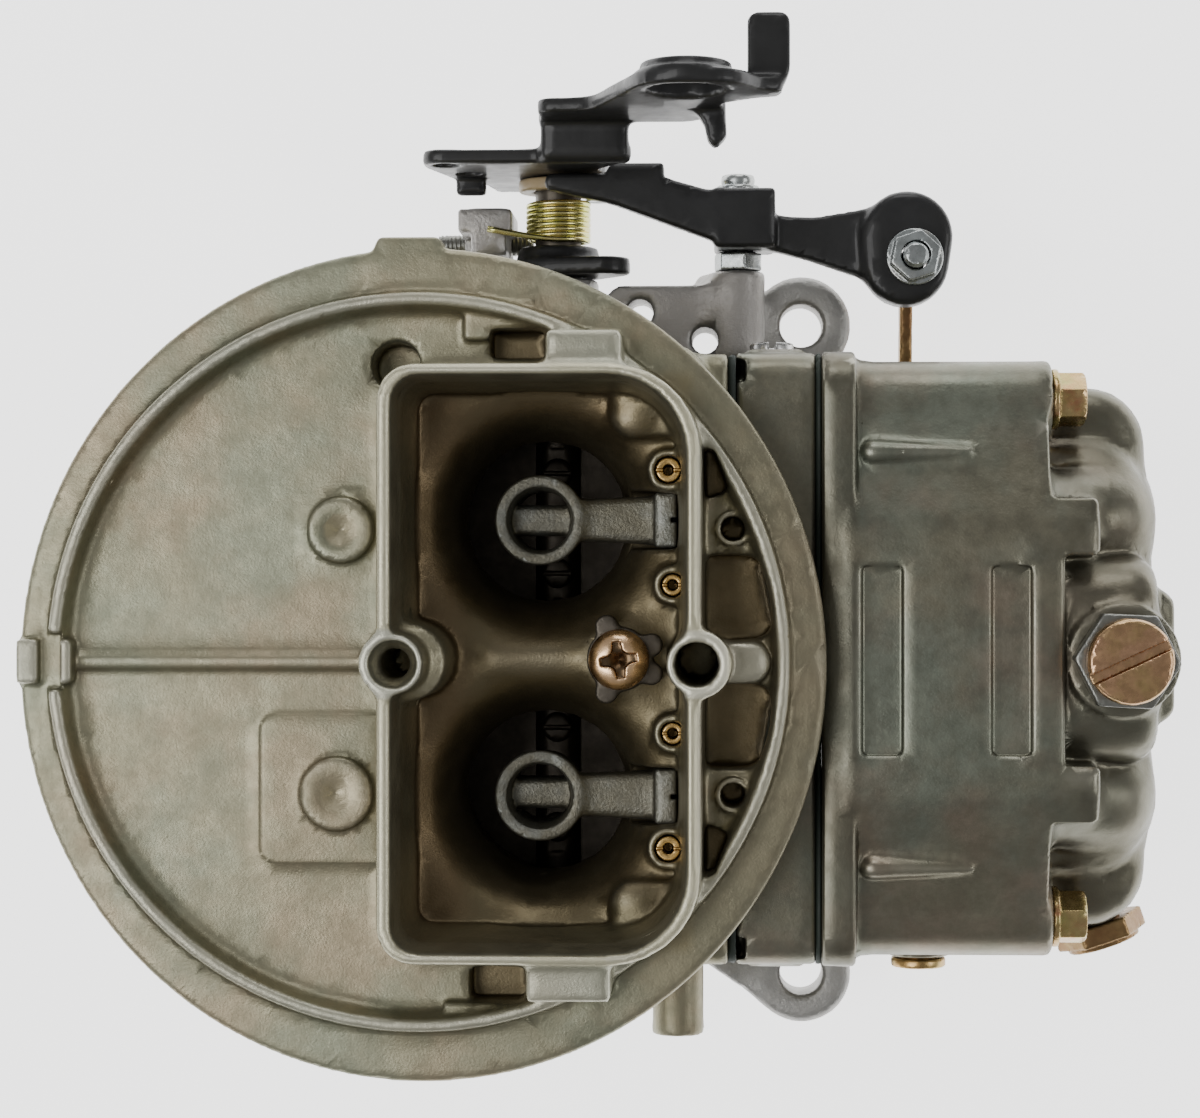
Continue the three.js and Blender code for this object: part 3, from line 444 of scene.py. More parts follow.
def material(
    name, tones, metal=0.8, rough=(0.34, 0.52), patch=16.0, grain=0.45, grain_bump=0.03, lump=4.0,
    lump_bump=0.05, edge=0.35, edge_tone=(0.62, 0.60, 0.5), masks=(), boxes=(), speck=0.25, coat=0.0,
    specular=0.5,
):
    """A procedural metal, paint or plastic; lengths in mm.

    tones: colours spread by soft patches of size patch. grain, lump: sizes of the fine and coarse bumps.
    edge: how strongly edge_tone shows on worn edges. speck: how strongly dark specks show.
    masks: (axis, low, high, colour, amount), a colour that sets in from low to high along an axis.
    boxes: (low corner, high corner, softness, colour, amount), a colour inside a box.
    """
    m = bpy.data.materials.new(name)
    m.use_nodes = True
    nt = m.node_tree
    bsdf = nt.nodes[BSDF]

    def feed(socket, v):
        """Sets an input to a value, or links it to an output."""
        if isinstance(v, (int, float, tuple)):
            socket.default_value = v
        else:
            nt.links.new(v, socket)

    def new(kind, inputs=None):
        n = nt.nodes.new("ShaderNode" + kind)
        for key, v in (inputs or {}).items():
            feed(n.inputs[key], v)
        return n

    def times(a, b, clamp=True):
        n = new("Math", {0: a, 1: b})
        n.operation = "MULTIPLY"
        n.use_clamp = clamp
        return n.outputs[0]

    def noise(size, detail, roughness, offset=0.0):
        shift = (offset, offset * 0.7, -offset)
        place = new("Mapping", {"Scale": (1 / MM, 1 / MM, 1 / MM), "Location": shift, "Vector": coord})
        inputs = {"Scale": 1.0 / size, "Detail": detail, "Roughness": roughness, "Vector": place.outputs[0]}
        return new("TexNoise", inputs).outputs["Fac"]

    def mix(fac, a, b):
        n = new("Mix", {"Factor": fac})
        n.data_type = "RGBA"
        for key, v in ((6, a), (7, b)):  # the node's two colour inputs
            feed(n.inputs[key], (*v, 1) if isinstance(v, tuple) else v)
        return n.outputs[2]

    def band(value, lo, hi, a=0.0, b=1.0):
        """The value's range lo to hi, spread over a to b."""
        inputs = {"Value": value, "From Min": lo, "From Max": hi, "To Min": a, "To Max": b}
        return new("MapRange", inputs).outputs["Result"]

    coord = new("TexCoord").outputs["Object"]
    split = new("SeparateXYZ", {0: coord})
    colour = tones[0]
    for i, tone in enumerate(tones[1:], 1):
        patches = band(noise(patch * (1 + 0.3 * i), 4, 0.6, offset=13.7 * i), 0.46, 0.62)
        colour = mix(times(patches, 0.85), colour, tone)
    specks = band(noise(grain * 3, 5, 0.7), 0.35, 0.65, 0.0, speck)
    colour = mix(specks, colour, tuple(0.5 * c for c in tones[0]))
    for axis, lo, hi, tone, amount in masks:
        value = times(split.outputs["XYZ".index(axis)], 1 / MM, clamp=False)
        colour = mix(times(band(value, lo, hi), amount), colour, tone)
    for lo, hi, soft, tone, amount in boxes:
        fac = amount
        for i in range(3):
            value = times(split.outputs[i], 1 / MM, clamp=False)
            fac = times(fac, band(value, lo[i] - soft, lo[i] + soft))
            fac = times(fac, band(value, hi[i] + soft, hi[i] - soft))
        colour = mix(fac, colour, tone)
    if edge:
        pointed = new("NewGeometry").outputs["Pointiness"]
        worn = band(pointed, 0.52, 0.62, 0.0, edge)
        colour = mix(worn, colour, edge_tone)
        # painted shade: darker in hollow creases and corners, where pointiness is low
        crease_shade = band(pointed, 0.48, 0.38, 0.0, 0.55)
        colour = mix(crease_shade, colour, tuple(0.25 * c for c in tones[0]))
    shine = band(noise(patch * 0.4, 4, 0.65, offset=5.0), 0.35, 0.68, *rough)
    looks = {"Base Color": colour, "Metallic": metal, "Coat Weight": coat, "Specular IOR Level": specular}
    for key, v in {**looks, "Roughness": shine}.items():
        feed(bsdf.inputs[key], v)
    normal = None
    for size, gain, detail in ((grain, grain_bump, 4), (lump, lump_bump, 3)):
        if gain == 0:
            continue
        bump = new("Bump", {"Strength": 1.0, "Distance": gain * MM, "Height": noise(size, detail, 0.6)})
        if normal is not None:
            feed(bump.inputs["Normal"], normal)
        normal = bump.outputs["Normal"]
    if normal is not None:
        feed(bsdf.inputs["Normal"], normal)
    return m


def plated(name, tones, **more):
    """A plated or machined metal of a small piece."""
    looks = {"metal": 1.0, "rough": (0.2, 0.34), "patch": 5, "grain_bump": 0.008, "lump_bump": 0.02,
        "edge": 0.35}
    return material(name, tones, **{**looks, **more})


def matte(name, tones, **more):
    """Fibre, rubber, foam or plastic."""
    looks = {"metal": 0.0, "rough": (0.6, 0.8), "lump_bump": 0.0, "edge": 0.0}
    return material(name, tones, **{**looks, **more})


HORN_PAINTED_SHADE = (  # painted shade inside the air horn, darker deeper down: floor, walls, reddish floor edges, bores
    ((-25.6, -51, 60), (27.6, 51, 70), 1.0, (0.165, 0.135, 0.075), 0.6),
    ((-25.6, -51, 70), (27.6, 51, 95.6), 1.0, (0.25, 0.215, 0.125), 0.6),
    ((-25, -49, 64), (-14, 49, 68.4), 2.5, (0.27, 0.12, 0.06), 0.4),
    ((-14, 36, 64), (14, 49, 68.4), 3.0, (0.24, 0.12, 0.06), 0.35),
    ((-26, -52, 20), (26, 52, 70), 4.0, (0.125, 0.095, 0.05), 0.7),
    ((-25, -50, 10), (25, 50, 60), 5.0, (0.17, 0.14, 0.085), 0.88),
)
POCKET_PAINTED_SHADE = (  # painted shade in the pockets and slots of the air-cleaner flange
    ((29.5, -42, 68), (43, 42, 79.5), 1.5, (0.20, 0.14, 0.065), 0.6),
    ((-14, 53, 70), (4, 62, 80.5), 0.6, (0.12, 0.085, 0.04), 0.75),
    ((-14, -62, 70), (4, -53, 80.5), 0.6, (0.12, 0.085, 0.04), 0.75),
)
DIMPLE_POST_HIGHLIGHTS = (  # painted highlights: the dimples of the two bosses and the tops of the two posts made lighter
    ((-38.4, 19.8, 83.1), (-31.2, 27.0, 84.5), 0.15, (0.50, 0.44, 0.30), 0.6),
    ((-39.2, -27.2, 83.1), (-31.8, -19.8, 84.5), 0.15, (0.50, 0.44, 0.30), 0.6),
    ((23, -5.8, 96.5), (34, 5.8, 99), 0.3, (0.74, 0.72, 0.60), 0.7),
    ((-30, -6, 96.5), (-18, 6, 99), 0.3, (0.60, 0.61, 0.55), 0.5),
)
M = {
    "olive": material(
        "olive_chromate", [(0.300, 0.278, 0.188), (0.26, 0.252, 0.175), (0.325, 0.268, 0.18),
            (0.262, 0.275, 0.198)],
        metal=0.85, rough=(0.36, 0.52), grain_bump=0.05, lump_bump=0.10,
        masks=(
            # painted shade: darker and browner towards +X, from X 14 to 46
            ("X", 14, 46, (0.17, 0.145, 0.095), 0.6),
            ("Z", 85.9, 86.3, (0.50, 0.49, 0.40), 0.5),
            ("Z", 96.3, 96.7, (0.56, 0.53, 0.38), 0.85),
        ),
        boxes=DIMPLE_POST_HIGHLIGHTS + HORN_PAINTED_SHADE + POCKET_PAINTED_SHADE,
    ),
    "grey_olive": material(
        "grey_olive_chromate", [(0.195, 0.184, 0.135), (0.17, 0.172, 0.135), (0.225, 0.185, 0.14),
            (0.178, 0.198, 0.158)],
        metal=0.88, rough=(0.30, 0.46), grain_bump=0.03, lump_bump=0.08, edge=0.5,
        # painted shade: the bowl's nose darker towards +X, from X 90 to 98
        masks=(("X", 90, 98, (0.125, 0.118, 0.088), 0.65),),
        # painted shade: the bowl's flange darkened
        boxes=(((50.5, -57, 55), (57.4, 57, 77), 0.6, (0.105, 0.098, 0.072), 0.6),),
    ),
    "bare": material(
        "bare_aluminium", [(0.40, 0.39, 0.37), (0.35, 0.345, 0.33), (0.45, 0.435, 0.41)],
        metal=0.85, rough=(0.4, 0.6), grain=0.7, grain_bump=0.12, lump_bump=0.1,
        masks=(("Z", 18.7, 18.95, (0.38, 0.36, 0.34), 0.9),), edge_tone=(0.62, 0.62, 0.60),
    ),
    "zinc_dark": material(
        "dark_zinc", [(0.175, 0.168, 0.135), (0.20, 0.205, 0.185), (0.145, 0.135, 0.10)],
        metal=0.85, rough=(0.36, 0.54), patch=6, grain=0.6, grain_bump=0.16, edge=0.7,
        edge_tone=(0.42, 0.44, 0.42),
    ),
    "black": material(
        "black_satin", [(0.012, 0.012, 0.012), (0.016, 0.016, 0.017)],
        metal=0.0, rough=(0.34, 0.46), grain=0.8, grain_bump=0.012, lump=7, lump_bump=0.10, edge=0.04,
        edge_tone=(0.2, 0.2, 0.2), speck=0.1, coat=0.15, specular=0.36,
    ),
    "zinc": plated(
        "silver_zinc", [(0.42, 0.45, 0.45), (0.36, 0.38, 0.38), (0.50, 0.50, 0.47)],
        metal=0.95, rough=(0.22, 0.36), grain_bump=0.01, edge=0.3, edge_tone=(0.75, 0.76, 0.76),
    ),
    "zinc_mid": plated(
        "grey_zinc", [(0.21, 0.21, 0.19), (0.27, 0.27, 0.245)],
        metal=0.95, rough=(0.28, 0.42), patch=4, grain_bump=0.01, edge=0.4, edge_tone=(0.55, 0.56, 0.56),
    ),
    "steel": plated(
        "bright_steel", [(0.52, 0.52, 0.51), (0.46, 0.46, 0.46)], rough=(0.22, 0.34), lump_bump=0.01,
        edge=0.2,
    ),
    "gold": plated(
        "yellow_zinc", [(0.52, 0.43, 0.17), (0.46, 0.43, 0.14), (0.58, 0.38, 0.19)], edge=0.3,
        edge_tone=(0.85, 0.8, 0.5),
    ),
    "spring": plated(
        "spring_yellow_zinc", [(0.72, 0.69, 0.27), (0.66, 0.68, 0.25), (0.80, 0.68, 0.34)],
        rough=(0.2, 0.3), patch=4, grain_bump=0.005, lump_bump=0.0, edge=0.0,
    ),
    "copper_gold": plated(
        "copper_gold_zinc", [(0.52, 0.32, 0.18), (0.60, 0.36, 0.22), (0.46, 0.33, 0.15)],
        rough=(0.22, 0.36), edge_tone=(0.85, 0.66, 0.45),
        boxes=(  # painted light on the nozzle screw, which sits in the shade of the air horn, and painted shade in its cross slot
            ((7, -8, 66), (21, 8, 76), 0.3, (0.92, 0.62, 0.36), 0.8),
            ((11, -3.3, 71), (17.6, 3.3, 73.8), 0.3, (0.05, 0.033, 0.018), 0.88),
        ),
    ),
    "screw_red": plated(
        "screw_yellow_zinc", [(0.50, 0.34, 0.15), (0.48, 0.20, 0.12), (0.42, 0.40, 0.15),
            (0.55, 0.42, 0.2)],
        patch=3.5, edge_tone=(0.85, 0.7, 0.45),
    ),
    "brass": plated(
        "brass", [(0.60, 0.40, 0.16), (0.52, 0.34, 0.12)],
        rough=(0.2, 0.36), patch=3, lump_bump=0.01, edge=0.3, edge_tone=(0.9, 0.7, 0.4),
        boxes=(((19, -39, 60), (28, 39, 69.5), 0.2, (0.03, 0.018, 0.008), 0.94),),  # painted shade in the air bleeds' holes
    ),
    "brass_red": plated(
        "red_brass", [(0.50, 0.32, 0.13), (0.42, 0.24, 0.11), (0.52, 0.40, 0.18)],
        rough=(0.24, 0.4), patch=4, grain_bump=0.01, edge_tone=(0.85, 0.68, 0.4),
    ),
    "bronze": plated(
        "bronze", [(0.26, 0.16, 0.075), (0.32, 0.22, 0.10), (0.22, 0.12, 0.06)],
        metal=0.95, rough=(0.28, 0.45), patch=4, grain_bump=0.02, lump_bump=0.03, edge=0.5,
        edge_tone=(0.6, 0.45, 0.22),
    ),
    # painted shade: brass made nearly black for the plates, shaft, screws and nozzle deep in the bores and
    # the air horn
    "shade_dark": plated(
        "shade_dark_brass", [(0.090, 0.078, 0.062), (0.120, 0.104, 0.084)],
        metal=0.8, rough=(0.4, 0.55), patch=6, grain_bump=0.01, edge=0.1, edge_tone=(0.12, 0.1, 0.07),
    ),
    "gasket": matte("gasket_fibre", [(0.022, 0.032, 0.026), (0.03, 0.04, 0.03)], grain=0.5,
        grain_bump=0.06),
    "rubber": matte("rubber", [(0.02, 0.02, 0.02)], rough=(0.55, 0.7)),
    "tan": matte(
        "tan_plastic", [(0.50, 0.38, 0.22), (0.46, 0.35, 0.2)],
        rough=(0.35, 0.45), grain_bump=0.01, lump_bump=0.02, edge=0.1, speck=0.05,
    ),
    "foam": matte("float_foam", [(0.03, 0.024, 0.02), (0.045, 0.035, 0.025)], grain_bump=0.1,
        lump_bump=0.05),
}


# ---------------------------------------------------------------- main body
BORE = 25.4  # each bore's distance from the middle
BLEEDS = [(23.2, 34.4, 2.3), (24.0, 13.5, 2.0), (23.2, -34.4, 2.3), (24.0, -13.5, 2.0)]  # X, Y, radius
REAR_POST, FRONT_POST = -24.1, 28.6  # X of the two posts in the air horn's ends
HORN_TOP = 97
NOZZLE_X = 14.3
RIM_X, RIM_STRETCH = -20.45, 0.971  # the air-cleaner flange is an ellipse
LIP_X, LIP_STRETCH = -21.0, 1.0077
DIMPLED = ((-34.8, 23.4, 5.9, 3.3), (-35.5, -23.5, 6.6, 3.5))  # bosses: X, Y, radius, dimple's radius
BLIND_HOLE = (-25.1, 52.7)
VENT = (34.9, 23.6)
TUBE = (24.5, 36)  # X and Z of the vacuum tube


def main_body():
    lower = rect(-31, 31, -57, 57, 12, 8, 8, 12)
    flange = rect(-55.5, 55.5, 22, 72, 3)
    crescent = [(26, -43, 3), (35, -43, 3), (43.5, 0, 30), (35, 43, 3), (26, 43, 3)]
    rim = [(0, 77.5), (56, 77.5), (65, 78.5), (72.6, 79), (73.8, 80.2), (73.8, 83.4), (73.2, 84), (0, 84)]
    lip = [(0, 80), (65.6, 80), (65.6, 84), (65.2, 86.2), (64.8, 86.5), (63.8, 86.5), (63.4, 86.1),
        (62.4, 83), (61.2, 82.1), (60, 82), (0, 82)]
    bell = [(0, 18), (17.5, 18), (17.5, 25), (18.3, 33), (16.4, 41), (15.2, 47), (15.2, 51), (15.9, 55),
        (17.4, 60), (19.6, 64), (21.6, 66.3), (23.4, 67.6), (0, 67.6)]

    def kidney(s):
        return prism("z", [(29.9, s * 3.4, 1.2), (42.0, s * 4.2, 3), (41.4, s * 12), (39.3, s * 18.9, 3),
            (29.9, s * 18.9, 1.4)], 73.5, 90, 0)

    def wedge(s):
        return prism("z", [(29.8, s * 28.6, 0.9), (34.3, s * 30.6, 0.9), (31.7, s * 37.2, 0.8),
            (29.7, s * 38, 0.6)], 76.5, 90, 0)

    steps = [
        (1, prism("z", lower, 20.5, 78, 0.8), 0),
        (1, prism("x", flange, 28, 34, 0.6), 2.0),
        (1, scaled_x(spin(rim, RIM_X, -0.6, r=0.25), RIM_X, RIM_STRETCH), 3.0),
        (-1, scaled_x(rod("z", 64.2, 82, 90, LIP_X, 0, 0), LIP_X, LIP_STRETCH), 0),
        (1, scaled_x(spin(lip, LIP_X, 0, r=0.25), LIP_X, LIP_STRETCH), 0.5),
        (1, [prism("y", [(-60, 78), (-30, 78), (-30, 42)], y - 1.8, y + 1.8, 0.8) for y in (-20, 0, 20)],
            3.0),
        (1, prism("z", [(-31, 64), (-14, 64), (-16.9, 75.5, 1.5), (-28.4, 75.5, 1.5)], 79, 84, 0.6), 1.0),
        (1, prism("z", crescent, 71, 81.6, 0.4), 1.0),
        (1, rod("z", 6, 66, 80, *BLIND_HOLE, 0.5), 1.0),
        (1, both(lambda s: block(-14, 5, *span(s, 54, 62), 66, 80, 1.0)), 1.0),
        (-1, rod("z", 4.4, 72, 90, *BLIND_HOLE, 0), 0.6),
        (1, drafted(-27, 29.3, -52.1, 52.1, [6.5, 16, 16, 6.5], 70, HORN_TOP, -0.6, 0.9), 1.2),
        (1, block(2.3, 15.4, 50, 58, 80, 95.5, 1.2), 1.6),
        (1, block(-1.1, 13.6, -58.8, -50, 80, 95.5, 1.2), 1.6),
        (1, rod("z", 5.85, 66, HORN_TOP, REAR_POST, 0, 0.5), 1.2),
        (1, rod("z", 5.9, 71, HORN_TOP, FRONT_POST, 0, 0.5), 1.2),
        (1, prism("z", link(FRONT_POST, 0, 5.4, 37.2, 0, 4.2), 76, 88, 2.2), 1.2),
        (1, prism("z", rect(-92.5, -82.5, -4, 4, 0, 1, 1, 0), 81, 87, 0.5), 0.5),
        (1, capsule((-83, 0, 81.9), (-28, 0, 81.9), 1.75), 0.7),
        (1, [rod("z", r, 80, 84.8, x, y, 0.6) for x, y, r, _ in DIMPLED], 1.0),
        (1, prism("z", rect(-49.4, -28, -36, -9.5, 3, 0, 0, 3), 80, 82.9, 0.3), 0.3),
        (1, block(-12.8, 0, 57, 64.6, 79, 84.5, 0.5), 0.6),
        (1, block(-16.4, 11.4, -65, -60.4, 79, 84.5, 0.5), 0.6),
        (1, both(lambda s: rod("z", 4.9, 72, 82.4, VENT[0], s * VENT[1], 0.4)), 1.0),
        (1, both(lambda s: rod("z", 3.2, 80, 83.8, VENT[0], s * VENT[1], 0.3)), 0.3),
        (1, rod("y", 5.05, -73.5, -54, *TUBE, 0.6), 2.5),
        (1, both(lambda s: rod("x", 6.2, 27, 33.6, s * 47.6, 24, 0.6)), 1.5),
        (1, both(lambda s: block(-22, 14, *span(s, 54, 58.2), 30, 62, 1.5)), 2.0),
        (1, both(lambda s: rod("y", 3.6, *span(s, 54, 60), -15, 54, 0.6)), 0.8),
        (1, both(lambda s: rod("y", 3.6, *span(s, 54, 60), 8, 54, 0.6)), 0.8),
        (-1, drafted(-24.6, 26.9, -50.3, 50.3, [5, 14, 14, 5], 67, 98, 1.9, 0.5), 0.5),
        (-1, both(lambda s: spin(bell, 0, s * BORE)), 2.6),
        (-1, both(kidney), 0.8),
        (-1, both(wedge), 0.5),
        (-1, both(lambda s: rod("z", 2.2, 72.5, 90, VENT[0], s * VENT[1], 0)), 0.3),
        (-1, prism("z", rect(-8.2, 1.5, 53.8, 59, 1.2), 76, 92, 0), 0.6),
        (-1, prism("z", rect(-11.8, -2, -60.4, -54.4, 1.2), 76, 92, 0), 0.6),
        (-1, [spin([(0, 82.9), (r, 84.7), (r + 0.2, 86), (0, 86)], x, y) for x, y, _, r in DIMPLED], 0.15),
        (-1, block(-88.5, -84.5, -5, 5, 84.6, 90, 0.3), 0.4),
        (-1, rod("y", 3.1, -75, -60, *TUBE, 0), 0.4),
        (-1, both(lambda s: block(12.5, 24.9, s * BORE - 5.4, s * BORE + 5.4, 56, 69, 0.8)), 0.6),
        (1, rod("z", 5.3, 58, HORN_TOP, REAR_POST, 0, 0.5), 1.4),
        (1, rod("z", 6.9, 58, 88, -22.6, 0, 1.0), 2.0),
        (1, rod("z", 5.3, 58, HORN_TOP, FRONT_POST, 0, 0.5), 1.4),
        (1, [rod("z", r + 1.5, 58, 70.5, x, y, 0.4) for x, y, r in BLEEDS], 1.6),
        (1, both(lambda s: prism("z", rect(13, 27, s * 40.5, s * 52, 4, 0, 0, 3), 60, 69.6, 1.2)), 1.8),
        (1, both(lambda s: capsule((16.8, s * 44.8, 67.6), (17.4, s * 44.8, 67.6), 3.4)), 2.2),
        (1, capsule((-9, 0, 64.6), (8, 0, 64.6), 3.2), 2.4),
        (1, rod("z", 6.4, 56, 67.5, NOZZLE_X, 0, 0.6), 2.2),
        (-1, rod("z", 2.7, 70, 99, REAR_POST, 0, 0), 0.3),
        (-1, spin([(0, 93.5), (2.7, 93.5), (4.1, 95.4), (4.3, 99), (0, 99)], REAR_POST, 0), 0.3),
        (-1, rod("z", 3.9, 61, 99, FRONT_POST, 0, 0), 0.6),
        (-1, [rod("z", r + 0.25, 64.5, 75, x, y, 0) for x, y, r in BLEEDS], 0.2),
        (-1, rod("z", 2.9, 54, 75, NOZZLE_X, 0, 0), 0.3),
        (1, spin([(1.5, 81.6), (2.2, 81.6), (2.2, 82.3), (1.5, 82.3)], -23.7, -57, r=0.1), 0.2),
    ]
    piece("main_body", steps, 0.55, M["olive"], "main_casting")


# ---------------------------------------------------------------- throttle body
BODY_SCREWS = [(-25, 50), (27, 50), (-25, -50), (27, -50)]
STUDS = [(49, 65.5), (49, -65.5), (-36, 65.5), (-36, -65.5)]  # the mounting pattern
SIDE_HOLES = [(16.6, 67.6), (29.6, 62)]
SHAFT_Z = 13
IDLE = (82.5, 5)  # Y and Z of the idle-speed screw
LEVER_STUD = (36.2, 16)  # X and Z of the stud that the pump arm turns on


def throttle_body():
    base = rect(-31, 34, -58, 58, 12, 8, 8, 12)
    steps = [
        (1, prism("z", base, 0, 19, 0.5), 0),
        (1, [prism("z", link(27, s * 51, 9, 49, s * 65.5, 9.3), 0, 10, 1.1) for s in (1, -1)], 4),
        (1, [prism("z", link(30, s * 36, 4, 49, s * 65.5, 9.3), 0, 9.4, 1.1) for s in (1, -1)], 3),
        (1, [prism("z", link(-22, s * 46, 10, -36, s * 65.5, 9.2), 0, 10, 1.1) for s in (1, -1)], 4),
        (1, rods("z", 8.9, 0, 10.5, STUDS, 0.5), 0.6),
        (1, prism("z", [(9, 50), (35, 50), (35, 73, 5), (12, 73, 3), (9, 70, 2)], 2, 19, 0.3), 0.8),
        (1, prism("y", link(0, SHAFT_Z, 8, 0, 8.5, 8), 57.5, 74.5, 0.8), 2.5),
        (1, prism("y", link(0, SHAFT_Z, 7.5, 0, 8.5, 7.5), -63.5, -57.5, 0.8), 2.5),
        (1, prism("y", link(*LEVER_STUD, 5.4, 33, 8, 5), 58, 75.7, 0.8), 3.5),
        (1, block(-19.5, -10, 52, 86, 1.5, 9, 0.9), 2.5),
        (1, block(-17.2, -10.2, 78.9, 88.3, 1.5, 20, 0.6), 0.8),
        (1, block(-19.8, -9, 83.6, 88.3, 1.5, 20, 0.6), 0.8),
        (1, [block(x0, x1, *span(s, 57, 59.6), 3, 16, 1.0) for s in (1, -1) for x0,
            x1 in ((-24, -14), (14, 24))], 2.0),
        (-1, both(lambda s: rod("z", 19.05, -1, 30, 0, s * BORE, 0)), 0.5),
        (-1, rods("z", 4.35, -1, 30, STUDS, 0), 0.2),
        (-1, rods("z", 4.3, 9.9, 10.9, STUDS, 0, end=5.4), 0.1),
        (-1, rod("y", 5.0, -80, 80, 0, SHAFT_Z, 0), 0.3),
        (-1, rods("z", 2.7, -1, 30, SIDE_HOLES, 0), 0.2),
        (-1, rods("z", 2.6, 18.2, 19.5, SIDE_HOLES, 0, end=3.9), 0.1),
        (-1, rod("y", 3.3, 62, 80, *LEVER_STUD, 0), 0.3),
        (-1, rod("x", 2.6, -30, 0, *IDLE, 0), 0.2),
        (-1, block(-30, -17.3, 70, 78.9, 1, 30, 0.5), 0.5),
        (-1, rods("z", 2.9, -1, 30, BODY_SCREWS, 0), 0.2),
        (-1, rods("z", 4.9, -1, 5, BODY_SCREWS, 0), 0.4),
        (-1, both(lambda s: prism("z", [(-14, s * 3, 2), (14, s * 3, 2), (9, s * 1, 1), (-9, s * 1, 1)], -1,
            4, 0)), 0.6),
    ]
    piece("throttle_body", steps, 0.5, M["bare"])
    outline = rect(-31, 33, -57, 57, 12, 8, 8, 12)
    piece("throttle_body_gasket", [
        (1, prism("z", outline, 19.02, 20.48, 0.15), 0),
        (-1, both(lambda s: rod("z", 19.65, 0, 30, 0, s * BORE, 0)), 0),
        (-1, rods("z", 2.9, 0, 30, BODY_SCREWS, 0), 0),
    ], 0.45, M["gasket"], "look_base_gasket")
    copies([(f"body_screw_{i + 1}", (x, y, 0)) for i, (x, y) in enumerate(BODY_SCREWS)], [
        (1, spin([(0, 1.3), (3.4, 1.2), (4.4, 1.9), (4.4, 5), (0, 5)], 0, 0), 0),
        (1, rod("z", 2.4, 4, 27, 0, 0, 0.3), 0.3),
        (-1, block(-5, 5, -0.6, 0.6, 0, 2.5, 0.05), 0.15),
    ], 0.22, M["zinc"])


# ---------------------------------------------------------------- venturis, bleeds, discharge nozzle
def boosters():
    for s, side in SIDES:
        y = s * BORE
        steps = [
            (1, spin([(0, 46), (7.3, 46), (7.6, 50), (7.8, 60), (8.35, 62.4), (8.35, 63.6), (8.0, 64.1),
                (0, 64.1)], -0.6, y), 0),
            (1, prism("z", [(5, y - 3.7), (22.5, y - 4.6), (22.5, y + 4.6), (5, y + 3.7)], 55.5, 63.6, 1.6),
                1.2),
            (1, block(20.6, 24.7, y - 5.1, y + 5.1, 56.3, 65.4, 0.8), 0.9),
            (-1, spin([(0, 40), (5.6, 40), (5.6, 58), (5.8, 62), (6.2, 64.5), (0, 66)], -0.6, y), 0.4),
            (1, block(-7, 7, y - 2.9, y + 2.9, 50, 58.4, 1.4), 0.6),
            (-1, block(23.6, 25.5, y - 0.4, y + 0.4, 60, 66, 0.1), 0.2),
        ]
        piece("booster_" + side, steps, 0.24, M["zinc_dark"])
    for i, (x, y, r) in enumerate(BLEEDS):
        steps = [
            (1, spin([(1.0, 65), (r, 65), (r, 69.9), (r - 0.25, 70.2), (1.1, 70.2), (1.0, 70.0)], x, y), 0),
            (-1, rod("z", 0.95, 66, 72, x, y, 0), 0.1),
            (-1, block(x - 3, x + 3, y - 0.28, y + 0.28, 69.7, 71, 0.05), 0.05),
        ]
        piece(f"air_bleed_{i + 1}", steps, 0.12, M["brass"])


def nozzle():
    angles = [math.radians(a) for a in (111, -111, 24, -24)]
    lobes = [(NOZZLE_X + 6.4 * math.cos(a), 6.4 * math.sin(a)) for a in angles]
    piece("discharge_nozzle", [
        (1, rod("z", 5.9, 67.8, 71.3, NOZZLE_X, 0, 0.5), 0),
        (1, rods("z", 2.1, 68.2, 71.4, lobes, 0.5), 1.2),
        (-1, rod("z", 3.0, 60, 75, NOZZLE_X, 0, 0), 0.2),
    ], 0.2, M["shade_dark"], "look_nozzle")
    slot = []  # the cross slot's outline: the end of each arm, then the hollow after it
    for k in range(4):
        a = math.radians(90 * k + 8)
        for q, d in ((3.4, -0.2), (3.4, 0.2), (1.95, 0.5), (1.75, 0.785), (1.95, 1.07)):
            slot.append((NOZZLE_X + q * math.cos(a + d), q * math.sin(a + d)))
    piece("nozzle_screw", [
        (1, spin([(0, 71.95), (5.4, 71.95), (5.55, 72.5), (5.3, 73.3), (4.5, 74.1), (3.2, 74.7),
            (1.5, 74.95), (0, 75)], NOZZLE_X, 0), 0),
        (1, rod("z", 2.4, 58, 72.5, NOZZLE_X, 0, 0.2), 0.3),
        (-1, prism("z", slot, 72.9, 77, 0), 0.45),
        (-1, spin([(0, 71.5), (1.7, 72.9), (1.7, 77), (0, 77)], NOZZLE_X, 0), 0.4),
    ], 0.14, M["copper_gold"])


# ---------------------------------------------------------------- metering block and face gaskets
SCREW_Y, SCREW_Z = 47.6, (24, 60)  # the four bowl screws
MIXTURE = (42.7, 30)  # X and Z of the idle-mixture screws


def holes_x(r, x0, x1):
    return [rod("x", r, x0, x1, s * SCREW_Y, z, 0) for s in (1, -1) for z in SCREW_Z]


